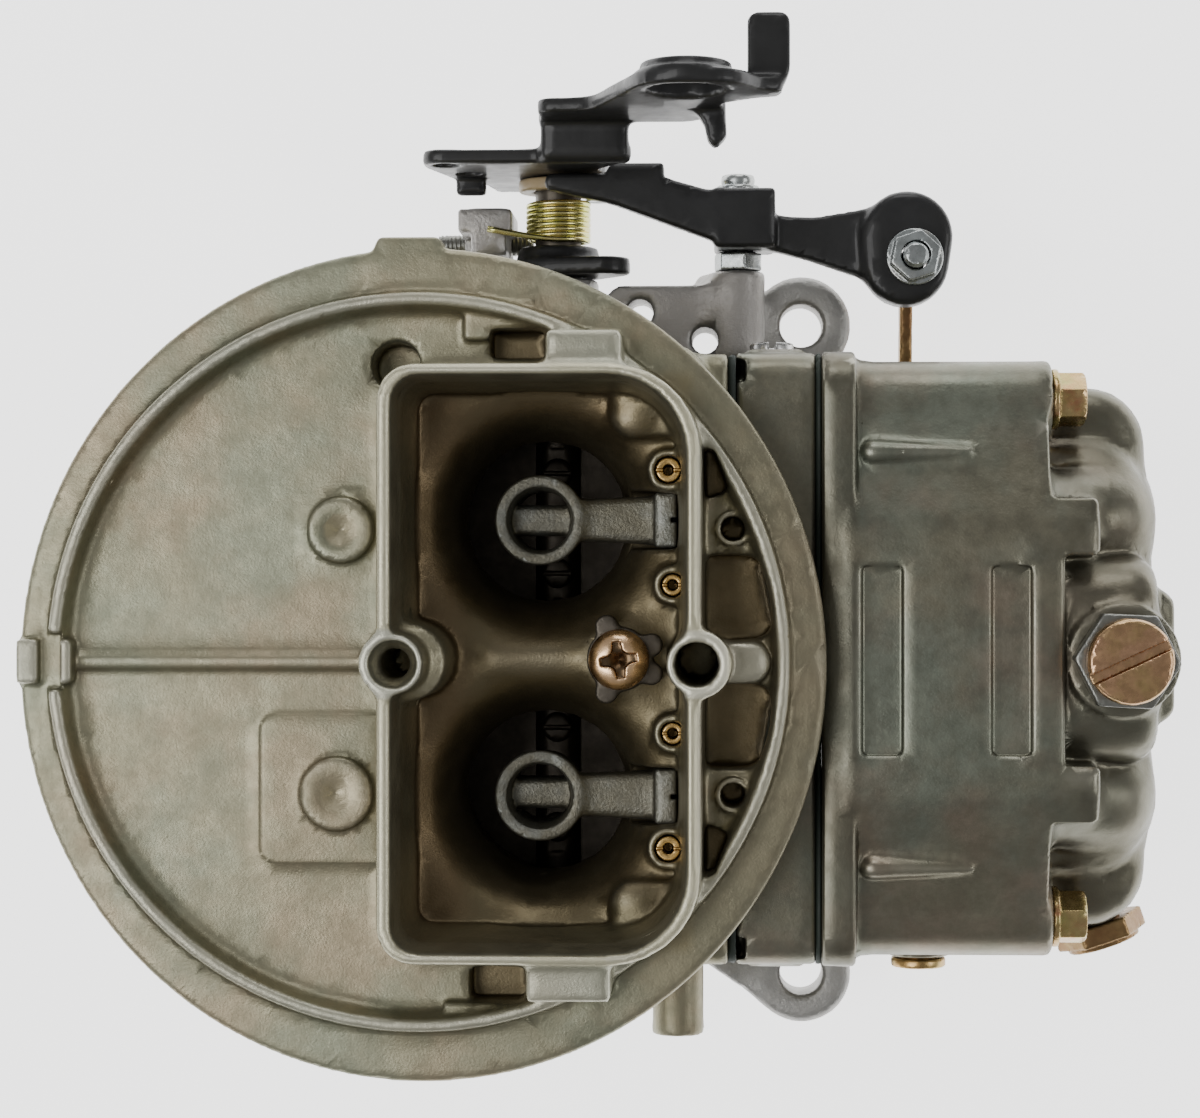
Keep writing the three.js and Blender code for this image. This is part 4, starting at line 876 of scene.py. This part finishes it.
def metering_block():
    face = rect(-56, 56, 14, 70, 5)
    piece("metering_block", [
        (1, prism("x", face, 35.52, 49.98, 0.7), 0),
        (1, both(lambda s: rod("y", 6, *span(s, 54, 58), *MIXTURE, 0.5)), 1.5),
        (1, both(lambda s: block(37.5, 48, *span(s, 54, 57), 44, 62, 1.2)), 1.5),
        (-1, both(lambda s: block(34, 37.2, *span(s, 50.5, 54.5), 66, 74, 0.5)), 0.6),
        (-1, holes_x(3.3, 30, 55), 0),
        (-1, both(lambda s: rod("y", 2.8, *span(s, 40, 60), *MIXTURE, 0)), 0.2),
        (-1, [rod("x", 3.3, 40, 55, y, 26, 0) for y in (-14, 14)], 0.1),
        (-1, rod("x", 10.5, 30, 44, 0, 40, 0), 0.3),
        (-1, rod("x", 6.5, 40, 55, 0, 40, 0), 0.1),
    ], 0.45, M["grey_olive"])
    back = rect(-55.5, 55.5, 22.5, 70.5, 3)
    piece("main_body_gasket", [
        (1, prism("x", back, 34.02, 35.48, 0.1), 0), (-1, holes_x(3.3, 30, 40), 0),
        (-1, rod("x", 12, 30, 40, 0, 40, 0), 0),
    ], 0.45, M["gasket"], "look_main_gasket")
    piece("bowl_gasket", [
        (1, prism("x", face, 50.02, 50.98, 0.1), 0), (-1, holes_x(3.3, 45, 55), 0),
        (-1, prism("x", rect(-38, 38, 17, 64, 4), 45, 55, 0), 0),
    ], 0.4, M["gasket"])
    for s, side in SIDES:
        piece("idle_mixture_screw_" + side, [
            (1, threaded("y", 2.5, *span(s, 44, 59), *MIXTURE, 0.8, 0.35), 0),
            (1, rod("y", 4.3, *span(s, 57.2, 60.4), *MIXTURE, 0.5), 0.3),
            (-1, block(42.1, 43.3, *span(s, 59.2, 64), 24, 36, 0.05), 0.1),
        ], 0.2, M["steel"], "look_mixture_screw_" + side)


# ---------------------------------------------------------------- fuel bowl
SEAT_X = 105.2  # X of the adjusting nut and its lock screw
SIGHT = (70.5, 40)  # X and Z of the sight plug
FITTING, FITTING_TURN = (102.1, -43.2, 37), 19  # the fuel inlet: its place, and its turn in degrees
PUMP_X, PUMP_Y = 70.5, 18


def at_fitting(shape):
    """A shape along Z, laid down to point out of the fuel inlet."""
    level = turned(shape, np.zeros(3), "x", 90)
    return moved(turned(level, np.zeros(3), "z", FITTING_TURN), *FITTING)


def fuel_bowl():
    nose = [(86, -40), (108, -40, 8), (112.4, -20, 7), (112.4, 20, 7), (108, 40, 8), (86, 40)]
    shelf = [(86, -50.5), (111.8, -50.5, 11), (112.2, -36, 6), (114.5, -27, 7), (112.4, -16, 5),
        (112.4, 16, 5), (114.5, 27, 7), (112.2, 36, 6),
                     (111.8, 50.5, 11), (86, 50.5)]
    roof = [(-53.5, 8, 5), (53.5, 8, 5), (53.5, 66, 5), (24, 75, 9), (-24, 75, 9), (-53.5, 66, 5)]
    flange = rect(-56, 56, 14, 74.5, 5, 5, 7, 7)
    steps = [
        (1, prism("x", flange, 51.02, 57.2, 0.9), 0),
        (1, prism("x", roof, 55, 92.2, 1.3), 1.6),
        (1, prism("z", nose, 14, 58, 3.0), 2.5),
        (1, prism("z", shelf, 31, 54.5, 5.5), 2.5),
        (1, both(lambda s: capsule((90, s * 24.5, 63.5), (103.5, s * 26.0, 56.0), 8.5, 9.5)), 4.0),
        (1, both(lambda s: prism("x", [(s * 18.8, 60), (s * 29.3, 60), (s * 29.3, 73.2), (s * 24, 75),
            (s * 18.8, 75)][::s], 86, 100.8, 1.6)), 0.8),
        (1, prism("x", rect(-19, 19, 40, 71.6, 2, 2, 9, 9), 86, 112.2, 5.0), 2.0),
        (1, prism("z", rect(88, 116, -11.6, 12.4, 1, 3, 3, 1), 30, 62, 1.6), 3.0),
        (1, rod("z", 10.2, 60, 72.98, SEAT_X, 0, 0.6), 2.0),
        (1, prism("x", [(-20, 60), (20, 60), (20, 75), (-20, 75)], 86, 94.5, 0.9), 0.8),
        (1, prism("z", link(*FITTING[:2], 8, 100.3, -38, 8), 30, 45, 1.2), 3.0),
        (1, rod("y", 6.2, -57.5, -50, *SIGHT, 0.6), 1.6),
        (1, both(lambda s: capsule((60.2, s * 37.6, 71.3), (77.5, s * 37.6, 70.9), 2.1, 0.9)), 1.3),
        (1, rod("z", 21, 4, 10, PUMP_X, PUMP_Y, 0.8), 2.0),
        (1, [rod("x", 7, 55, 93, s * SCREW_Y, z, 0.7) for s in (1, -1) for z in SCREW_Z], 2.5),
        (1, both(lambda s: block(60, 90, *span(s, 52, 54.6), 36, 48, 1.2)), 1.6),
        (-1, [prism("z", rect(a, b, -17, 17, 0.8), 74.1, 80, 0) for a, b in ((58.1, 65.3), (81.4, 88.4))],
            0.25),
        (-1, prism("x", [(-38, 12, 4), (38, 12, 4), (38, 64, 4), (20, 66.5, 5), (-20, 66.5, 5),
            (-38, 64, 4)], 50, 89, 0), 0),
        (-1, prism("z", [(85, -37), (103, -37, 6), (108.5, -18, 4), (108.5, 18, 4), (103, 37, 6), (85, 37)],
            26, 56, 0), 0),
        (-1, block(100, 114, -6.5, 6.5, 34, 58, 0.5), 0),
        (-1, rod("z", 7.2, 50, 80, SEAT_X, 0, 0), 0.1),
        (-1, holes_x(3.3, 50, 100), 0),
        (-1, rod("y", 4.2, -60, -30, *SIGHT, 0), 0.1),
        (-1, rod("z", 17, 3, 9, PUMP_X, PUMP_Y, 0), 0),
        (-1, rod("z", 2, 8, 14, PUMP_X, PUMP_Y, 0), 0),
        (-1, at_fitting(rod("z", 4.8, -11, 14, 0, 0, 0)), 0),
        (-1, rod("y", 1.8, -9.5, 9.5, 110.5, 46, 0), 0),
    ]
    piece("fuel_bowl", steps, 0.45, M["grey_olive"])


def bowl_screws():
    screw = [
        (1, threaded("x", 2.95, 31, 44, 0, 0, 1.2, 0.45), 0),
        (1, rod("x", 2.7, 43, 94, 0, 0, 0.2), 0),
        (1, rod("x", 5.6, 93.35, 94.7, 0, 0, 0.35), 0),
        (1, prism("x", hexagon(5.05, 12), 94.4, 99.7, 0.25), 0.35),
        (-1, spin([(4.3, 99.8), (7, 97.6), (7, 101), (4.3, 101)], 0, 0, "x"), 0.15),
        (-1, spin([(0, 99.3), (2.4, 99.45), (3.0, 100.5), (0, 100.5)], 0, 0, "x"), 0.2),
    ]
    places = []
    for s, side in SIDES:
        for z, level in zip(SCREW_Z, ("low", "top")):
            places.append((f"bowl_screw_{side}_{level}", (0, s * SCREW_Y, z)))
    copies(places, screw, 0.24, M["screw_red"])


def bowl_fittings():
    piece("adjusting_nut", [
        (1, prism("z", hexagon(9.6, -3, SEAT_X, 0), 73.05, 77.6, 0.25), 0),
        (-1, spin([(8.5, 77.9), (10.5, 76.6), (10.5, 79), (8.5, 79)], SEAT_X, 0), 0.15),
        (-1, rod("z", 5.3, 70, 80, SEAT_X, 0, 0), 0.1),
    ], 0.22, M["zinc_mid"])
    piece("lock_screw", [
        (1, spin([(0, 77.95), (7.3, 77.95), (7.7, 78.4), (7.7, 81.3), (7.1, 81.95), (3, 82.1), (0, 82.1)],
            SEAT_X, 0), 0),
        (1, rod("z", 1.8, 69, 78.5, SEAT_X, 0, 0.2), 0.3),
        (-1, turned(block(SEAT_X - 9, SEAT_X + 9, -0.95, 0.95, 80.2, 84, 0.1), np.array((SEAT_X, 0, 0)),
            "z", 25), 0.12),
    ], 0.18, M["copper_gold"])
    piece("sight_plug", [
        (1, rod("y", 5.2, -59.7, -57.8, *SIGHT, 0.5), 0),
        (1, threaded("y", 3.9, -58.2, -46, *SIGHT, 1.0, 0.4), 0),
        (-1, block(66, 75, -62, -58.9, 39.4, 40.6, 0.05), 0.1),
    ], 0.22, M["brass_red"])
    piece("inlet_fitting", [
        (1, at_fitting(prism("z", hexagon(8.8, 0), 8.25, 12, 0.4)), 0),
        (1, at_fitting(rod("z", 4.5, -3, 9, 0, 0, 0.3)), 0.2),
        (1, at_fitting(rod("z", 7.0, 11.8, 13, 0, 0, 0.4)), 0.3),
        (-1, at_fitting(rod("z", 3.4, -5, 15, 0, 0, 0)), 0.3),
        (-1, at_fitting(rod("z", 3.4, 11.6, 13.6, 0, 0, 0, end=5.2)), 0.2),
    ], 0.26, M["bronze"])


# ---------------------------------------------------------------- accelerator pump
PIN = (46, -0.5)  # Y and Z of the diaphragm lever's pin
BOLT = (70.8, 77.6)  # X and Y of the pump bolt


def pump():
    x, y = PUMP_X, PUMP_Y
    corners = [(x + s * 14 * 0.71, y + t * 14 * 0.71) for s in (1, -1) for t in (1, -1)]
    piece("pump_cover", [
        (1, rod("z", 21, 0.6, 3.68, x, y, 0.5), 0),
        (1, rod("z", 19, -3.5, 2, x, y, 1.6), 1.6),
        (1, block(x - 6, x + 6, 30, 50, -4, 3.68, 1.2), 2.0),
        (-1, [rod("z", 3.0, -5, -1.4, *corner, 0.2) for corner in corners], 0.3),
        (-1, rod("z", 17, -1, 5, x, y, 0), 0),
        (-1, block(x - 2.4, x + 2.4, 12, 55, -6, 5, 0.4), 0.3),
        (-1, rod("x", 1.8, 60, 80, *PIN, 0), 0.1),
    ], 0.42, M["grey_olive"])
    piece("pump_diaphragm_lever", [
        (1, prism("x", link(77.6, 4, 2.5, *PIN, 3.1), 69.2, 71.8, 0.45), 0),
        (1, prism("x", link(*PIN, 3.1, 19, -0.4, 1.9), 69.2, 71.8, 0.45), 0.5),
        (-1, rod("x", 1.8, 60, 80, *PIN, 0), 0.1),
    ], 0.28, M["bronze"], "look_pump_strip")
    bar = [(-2, 91.4, 1.5), (11.2, 88.4, 6), (30.1, 81.4, 6), (33, 80.6), (33, 91.2), (30.1, 91.1, 3),
        (23.8, 92.9, 3), (21.6, 93.7), (21.6, 96.4, 0.8),
           (11, 96.4, 0.8), (10, 94.4, 1), (-2, 94.4, 1.5)]
    arm = [(42, 86.4), (42, 79.7), (50, 77.6, 6), (62, 73.5), (62, 87.6), (51, 85.8, 6)]
    piece("pump_lever", [
        (1, prism("z", bar, 22.4, 27, 0.9), 0),
        (1, rod("y", 1.6, 92, 94, 0, 23.2, 0.3), 0.8),
        (1, block(31.4, 43.5, 79.7, 91.4, 10, 27, 0.9), 1.0),
        (1, prism("z", arm, 18, 24, 0.9), 1.2),
        (1, prism("z", link(69.4, 81.8, 9.05, 69.2, 76.6, 8.45), 17.5, 26, 1.8), 1.6),
        (-1, rod("y", 3.4, 75, 95, *LEVER_STUD, 0), 0.2),
        (-1, rod("z", 2.9, 10, 30, *BOLT, 0), 0.1),
    ], 0.36, M["black"])
    piece("pump_lever_stud", [
        (1, rod("y", 3, 63, 94.6, *LEVER_STUD, 0.4), 0),
        (1, prism("y", hexagon(4.9, 14, *LEVER_STUD), 75.9, 79.4, 0.3), 0),
        (1, rod("y", 4.3, 91.7, 93, *LEVER_STUD, 0.3), 0),
        (1, rod("y", 3.4, 93, 95.2, *LEVER_STUD, 0.8), 0.2),
    ], 0.24, M["zinc"], "look_lever_stud")
    piece("pump_bolt", [
        (1, threaded("z", 2.6, 6.9, 31.0, *BOLT, 0.9, 0.32), 0),
        (1, rod("z", 2.2, 30.4, 31.4, *BOLT, 0.4), 0),
    ], 0.16, M["zinc"])
    piece("pump_bolt_nut", [
        (1, rod("z", 5.6, 26.3, 27.3, *BOLT, 0.3), 0),
        (1, prism("z", hexagon(5.1, 18, *BOLT), 27.1, 30.2, 0.25), 0.1),
        (-1, spin([(4.4, 30.4), (6, 29.4), (6, 32), (4.4, 32)], *BOLT), 0.1),
        (-1, rod("z", 2.85, 20, 35, *BOLT, 0), 0.1),
    ], 0.16, M["zinc"])
    sweep = 10 * math.pi
    coil = [
        (BOLT[0] + 4 * math.cos(t), BOLT[1] + 4 * math.sin(t), 8.3 + 8.2 * t / sweep)
        for t in np.linspace(0, sweep, 200)
    ]
    wire("look_pump_spring", "pump_bolt_spring", coil, 0.55, M["steel"])


# ---------------------------------------------------------------- throttle shaft, plates and linkage
LEVER_RING = (26.4, 70.5)  # X and Z of the throttle lever's round hole
OUTER_Y = 102.5  # where the lever's outer plate starts
CAM_SCREW = (8, 9)
PLATE_SCREWS = [s * BORE + d for s in (1, -1) for d in (-10, 10)]


def shaft_and_plates():
    z = SHAFT_Z
    piece("throttle_shaft", [
        (1, rod("y", 4.7, -66, 100.5, 0, z, 0.5), 0),
        (1, rod("y", 7, -67.5, -64.2, 0, z, 0.6), 0.4),
        (-1, both(lambda s: block(-6, 6, s * BORE - 18.9, s * BORE + 18.9, z - 1, z + 1, 0)), 0),
        (-1, both(lambda s: block(-6, 6, s * BORE - 15, s * BORE + 15, z + 4.2, z + 6, 0.1)), 0.2),
        (-1, [rod("z", 1.8, 0, 30, 0, y, 0) for y in PLATE_SCREWS], 0),
    ], 0.3, M["shade_dark"], "look_shaft")
    for s, side in SIDES:
        piece("throttle_plate_" + side, [
            (1, rod("z", 19.03, z - 0.75, z + 0.75, 0, s * BORE, 0.05), 0),
            (-1, [rod("z", 1.8, 0, 30, 0, s * BORE + d, 0) for d in (-10, 10)], 0),
        ], 0.25, M["shade_dark"], "look_plate_" + side)
    copies([(f"plate_screw_{i + 1}", (0, y, 0)) for i, y in enumerate(PLATE_SCREWS)], [
        (1, spin([(0, 17.25), (3, 17.25), (3, 17.9), (2.4, 18.5), (0, 18.7)], 0, 0), 0),
        (1, rod("z", 1.5, 8.2, 18, 0, 0, 0.2), 0.1),
        (-1, block(-4, 4, -0.4, 0.4, 18, 20, 0.05), 0.1),
    ], 0.16, M["shade_dark"])


def lean(shape):
    """The slant of the throttle lever's outer plate."""
    return turned(shape, np.array((0.0, OUTER_Y, 40.0)), "x", -1.4)


def throttle_lever():
    plate = [(-25.3, 38, 4), (-25.3, 30, 4), (-21.5, 14.5, 4), (-15.5, 4, 3), (-13.9, -7.4, 1.8),
        (-9, -7.4, 1.8), (-3, 1.5, 4), (8, 3, 6),
                     (10.5, 14, 7), (8.5, 26, 5), (15, 38)]
    outer = [(-2, 38), (27, 38, 4), (33, 45, 2), (33, 57, 4), (39, 62, 4), (43.8, 64, 2), (43.8, 69, 1.5),
        (40, 71, 5), (35, 79.5, 9), (19, 79.5, 9),
                     (8, 51.5, 6), (-2, 50.5, 3)]
    tab = rect(37.6, 45.4, 103, 117.4, 0, 4.5, 2, 2)
    hook = [(26.5, 104), (33.6, 104), (33.9, 97.4, 1.5), (31.6, 95.4, 0.8), (30.2, 97.0, 1),
        (29.6, 100.2, 3)]
    steps = [
        (1, prism("y", plate, 95, 97.7, 0.6), 0),
        (1, block(-2, 15, 95.1, 105, 37.4, 40.4, 1.4), 2.2),
        (1, lean(prism("y", outer, OUTER_Y, 105.2, 0.6)), 1.6),
        (1, lean(rod("y", 9.4, 103.5, 105.9, *LEVER_RING, 0.5)), 0.6),
        (1, lean(rod("y", 8.4, 103.5, 107.4, *LEVER_RING, 0.6)), 0.6),
        (1, lean(prism("z", tab, 65.4, 68.5, 0.7)), 1.6),
        (1, lean(prism("z", hook, 47, 52.6, 1.0)), 1.2),
        (1, block(-20.5, -14.5, 91.6, 96, 13, 16, 0.8), 0.8),
        (1, block(-9.5, 9.5, 95, 97.7, 5, 21, 1.0), 1.0),
        (-1, rod("y", 5.0, 70, 110, 0, SHAFT_Z, 0), 0.2),
        (-1, [rod("y", 2.6, 90, 99, x, z, 0) for x, z in ((-20.8, 33.5), (-17.2, 21))], 0.3),
        (-1, rod("y", 7, 94, 120, *LEVER_RING, 0), 0.5),
    ]
    piece("throttle_lever", steps, 0.36, M["black"])


def shaft_fittings():
    z = SHAFT_Z
    piece("shaft_nut", [
        (1, prism("y", hexagon(7, 0, 0, z), 98.2, 100.4, 0.3), 0), (-1, rod("y", 5.0, 90, 110, 0, z, 0),
            0.1),
    ], 0.26, M["zinc"])
    piece("stop_lever", [
        (1, prism("y", link(0, z, 9, 9.5, 19, 5.2), 75, 78.4, 0.7), 0),
        (1, prism("y", link(0, z, 8, -2.5, 3.5, 4), 75, 78.4, 0.7), 1.0),
        (1, block(-5.2, -2.6, 77, 85, 0.5, 6, 0.6), 1.0),
        (1, rod("y", 8.2, 77.5, 81, 0, z, 1.0), 1.0),
        (-1, rod("y", 5.0, 70, 110, 0, z, 0), 0.3),
    ], 0.32, M["black"])
    base, arm, opening, swing = 8, LEVER_STUD[0], 75, 8  # mm, mm, degrees of throttle, degrees of pump arm
    cam = []
    for deg in range(0, 360, 4):
        lift = math.radians(min(deg, opening) * swing / opening)
        fall = min(1, max(0, (deg - 120) / 90))
        r = (base + arm * math.sin(lift)) * (1 - fall) + base * fall
        cam.append((r * math.sin(math.radians(deg)), z + r * math.cos(math.radians(deg))))
    piece("pump_cam", [
        (1, prism("y", cam, 92.2, 94.6, 0.3), 0), (-1, rod("y", 5.0, 90, 96, 0, z, 0), 0.1),
        (-1, rod("y", 1.9, 90, 96, *CAM_SCREW, 0), 0.1),
    ], 0.25, M["tan"], "look_cam")
    piece("cam_screw", [
        (1, rod("y", 1.6, 91.4, 94.6, *CAM_SCREW, 0.2), 0), (1, rod("y", 2.8, 90.8, 91.9, *CAM_SCREW, 0.4),
            0), (-1, block(5, 11, 90, 91.2, 8.7, 9.3, 0), 0.1),
    ], 0.14, M["zinc"])
    radius, sweep = 5.95, 2 * math.pi * 7.5
    coil = [
        (radius * math.sin(t), 82.3 + 7.8 * t / sweep, z + radius * math.cos(t))
        for t in np.linspace(0, sweep, 270)
    ]
    leg = [(-13.7, 84.1, 21.4), (-12, 83.8, 21.3), (-10, 83.4, 21.1), (-8, 83.1, 20.8), (-6, 82.8, 20.4),
        (-4, 82.6, 19.9), (-2, 82.4, 19.3)]
    wire("look_return_spring", "throttle_spring", leg + coil, 0.62, M["spring"])
    piece("idle_speed_screw", [
        (1, threaded("x", 2.3, -25, -5.6, *IDLE, 0.85, 0.32), 0),
        (-1, block(-26, -24, 78, 87, 4.5, 5.5, 0), 0.1),
    ], 0.2, M["zinc_mid"], "look_idle_screw")


main_body()
throttle_body()
boosters()
nozzle()
metering_block()
fuel_bowl()
bowl_screws()
bowl_fittings()
pump()
shaft_and_plates()
throttle_lever()
shaft_fittings()

# ---------------------------------------------------------------- the pieces that keep their CAD mesh
LOOKS = {  # material slot: material
    "olive_casting": "olive", "bare_casting": "bare", "grey_casting": "grey_olive", "zinc": "zinc",
    "steel": "steel", "brass": "brass", "yellow_zinc": "gold", "bronze": "bronze", "black_steel": "black",
    "gasket": "gasket", "rubber": "rubber", "cam_plastic": "tan", "float_foam": "foam",
}
OWN_LOOKS = {m.name for m in M.values()}
for node in frame["nodes"].values():
    materials = node.data.materials
    if not materials or materials[0].name not in OWN_LOOKS:
        materials.clear()
        materials.append(M[LOOKS[SLOT[node["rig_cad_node"]]]])


# ---------------------------------------------------------------- floor, lights, camera
LIGHTS = (  # name, place (m), size (m), power (W), the point it faces
    ("key", (-0.62, -0.10, 1.10), 0.8, 8.5, (0, 0, 0.03)),
    ("side", (0.9, 0.0, 0.75), 0.45, 2.2, (0.09, 0, 0.05)),
    ("rim", (0.1, 1.2, 0.6), 0.6, 4, (0, 0, 0.05)),
)
FLOOR_Z = -0.013
FLOOR_GLOW = 2.1
WORLD_STRENGTH = 0.31
WHITE = (1, 1, 1, 1)
EYE, AIM = (0.0326, 0.0177, 0.588), (0.00784, 0.0183, 0.0)  # m; the view is almost straight down


def floor():
    bpy.ops.mesh.primitive_plane_add(size=6, location=(0, 0, FLOOR_Z))
    plane = bpy.context.object
    plane.name = "floor"
    m = bpy.data.materials.new("floor_white")
    m.use_nodes = True
    inputs = m.node_tree.nodes[BSDF].inputs
    inputs["Base Color"].default_value = (0.9, 0.9, 0.9, 1)
    inputs["Roughness"].default_value = 0.9
    inputs["Specular IOR Level"].default_value = 0.1
    inputs["Emission Color"].default_value = WHITE
    inputs["Emission Strength"].default_value = FLOOR_GLOW
    plane.data.materials.append(m)


def lights():
    for name, place, size, power, target in LIGHTS:
        data = bpy.data.lights.new(name, "AREA")
        data.energy = power
        data.size = size
        light = bpy.data.objects.new(name, data)
        bpy.context.scene.collection.objects.link(light)
        light.location = place
        light.rotation_euler = (Vector(target) - Vector(place)).to_track_quat("-Z", "Y").to_euler()
    world = bpy.data.worlds.new("studio")
    bpy.context.scene.world = world
    world.use_nodes = True
    background = world.node_tree.nodes["Background"]
    background.inputs["Color"].default_value = WHITE
    background.inputs["Strength"].default_value = WORLD_STRENGTH


def camera():
    data = bpy.data.cameras.new("camera")
    data.sensor_width = 36
    data.lens = 85.5
    data.clip_start = 0.01
    cam = bpy.data.objects.new("camera", data)
    bpy.context.scene.collection.objects.link(cam)
    eye = Vector(EYE)
    z = (eye - Vector(AIM)).normalized()
    x = Vector((0, 1, 0)).cross(z).normalized()
    cam.matrix_world = Matrix.Translation(eye) @ Matrix((x, z.cross(x), z)).transposed().to_4x4()
    bpy.context.scene.camera = cam


floor()
lights()
camera()
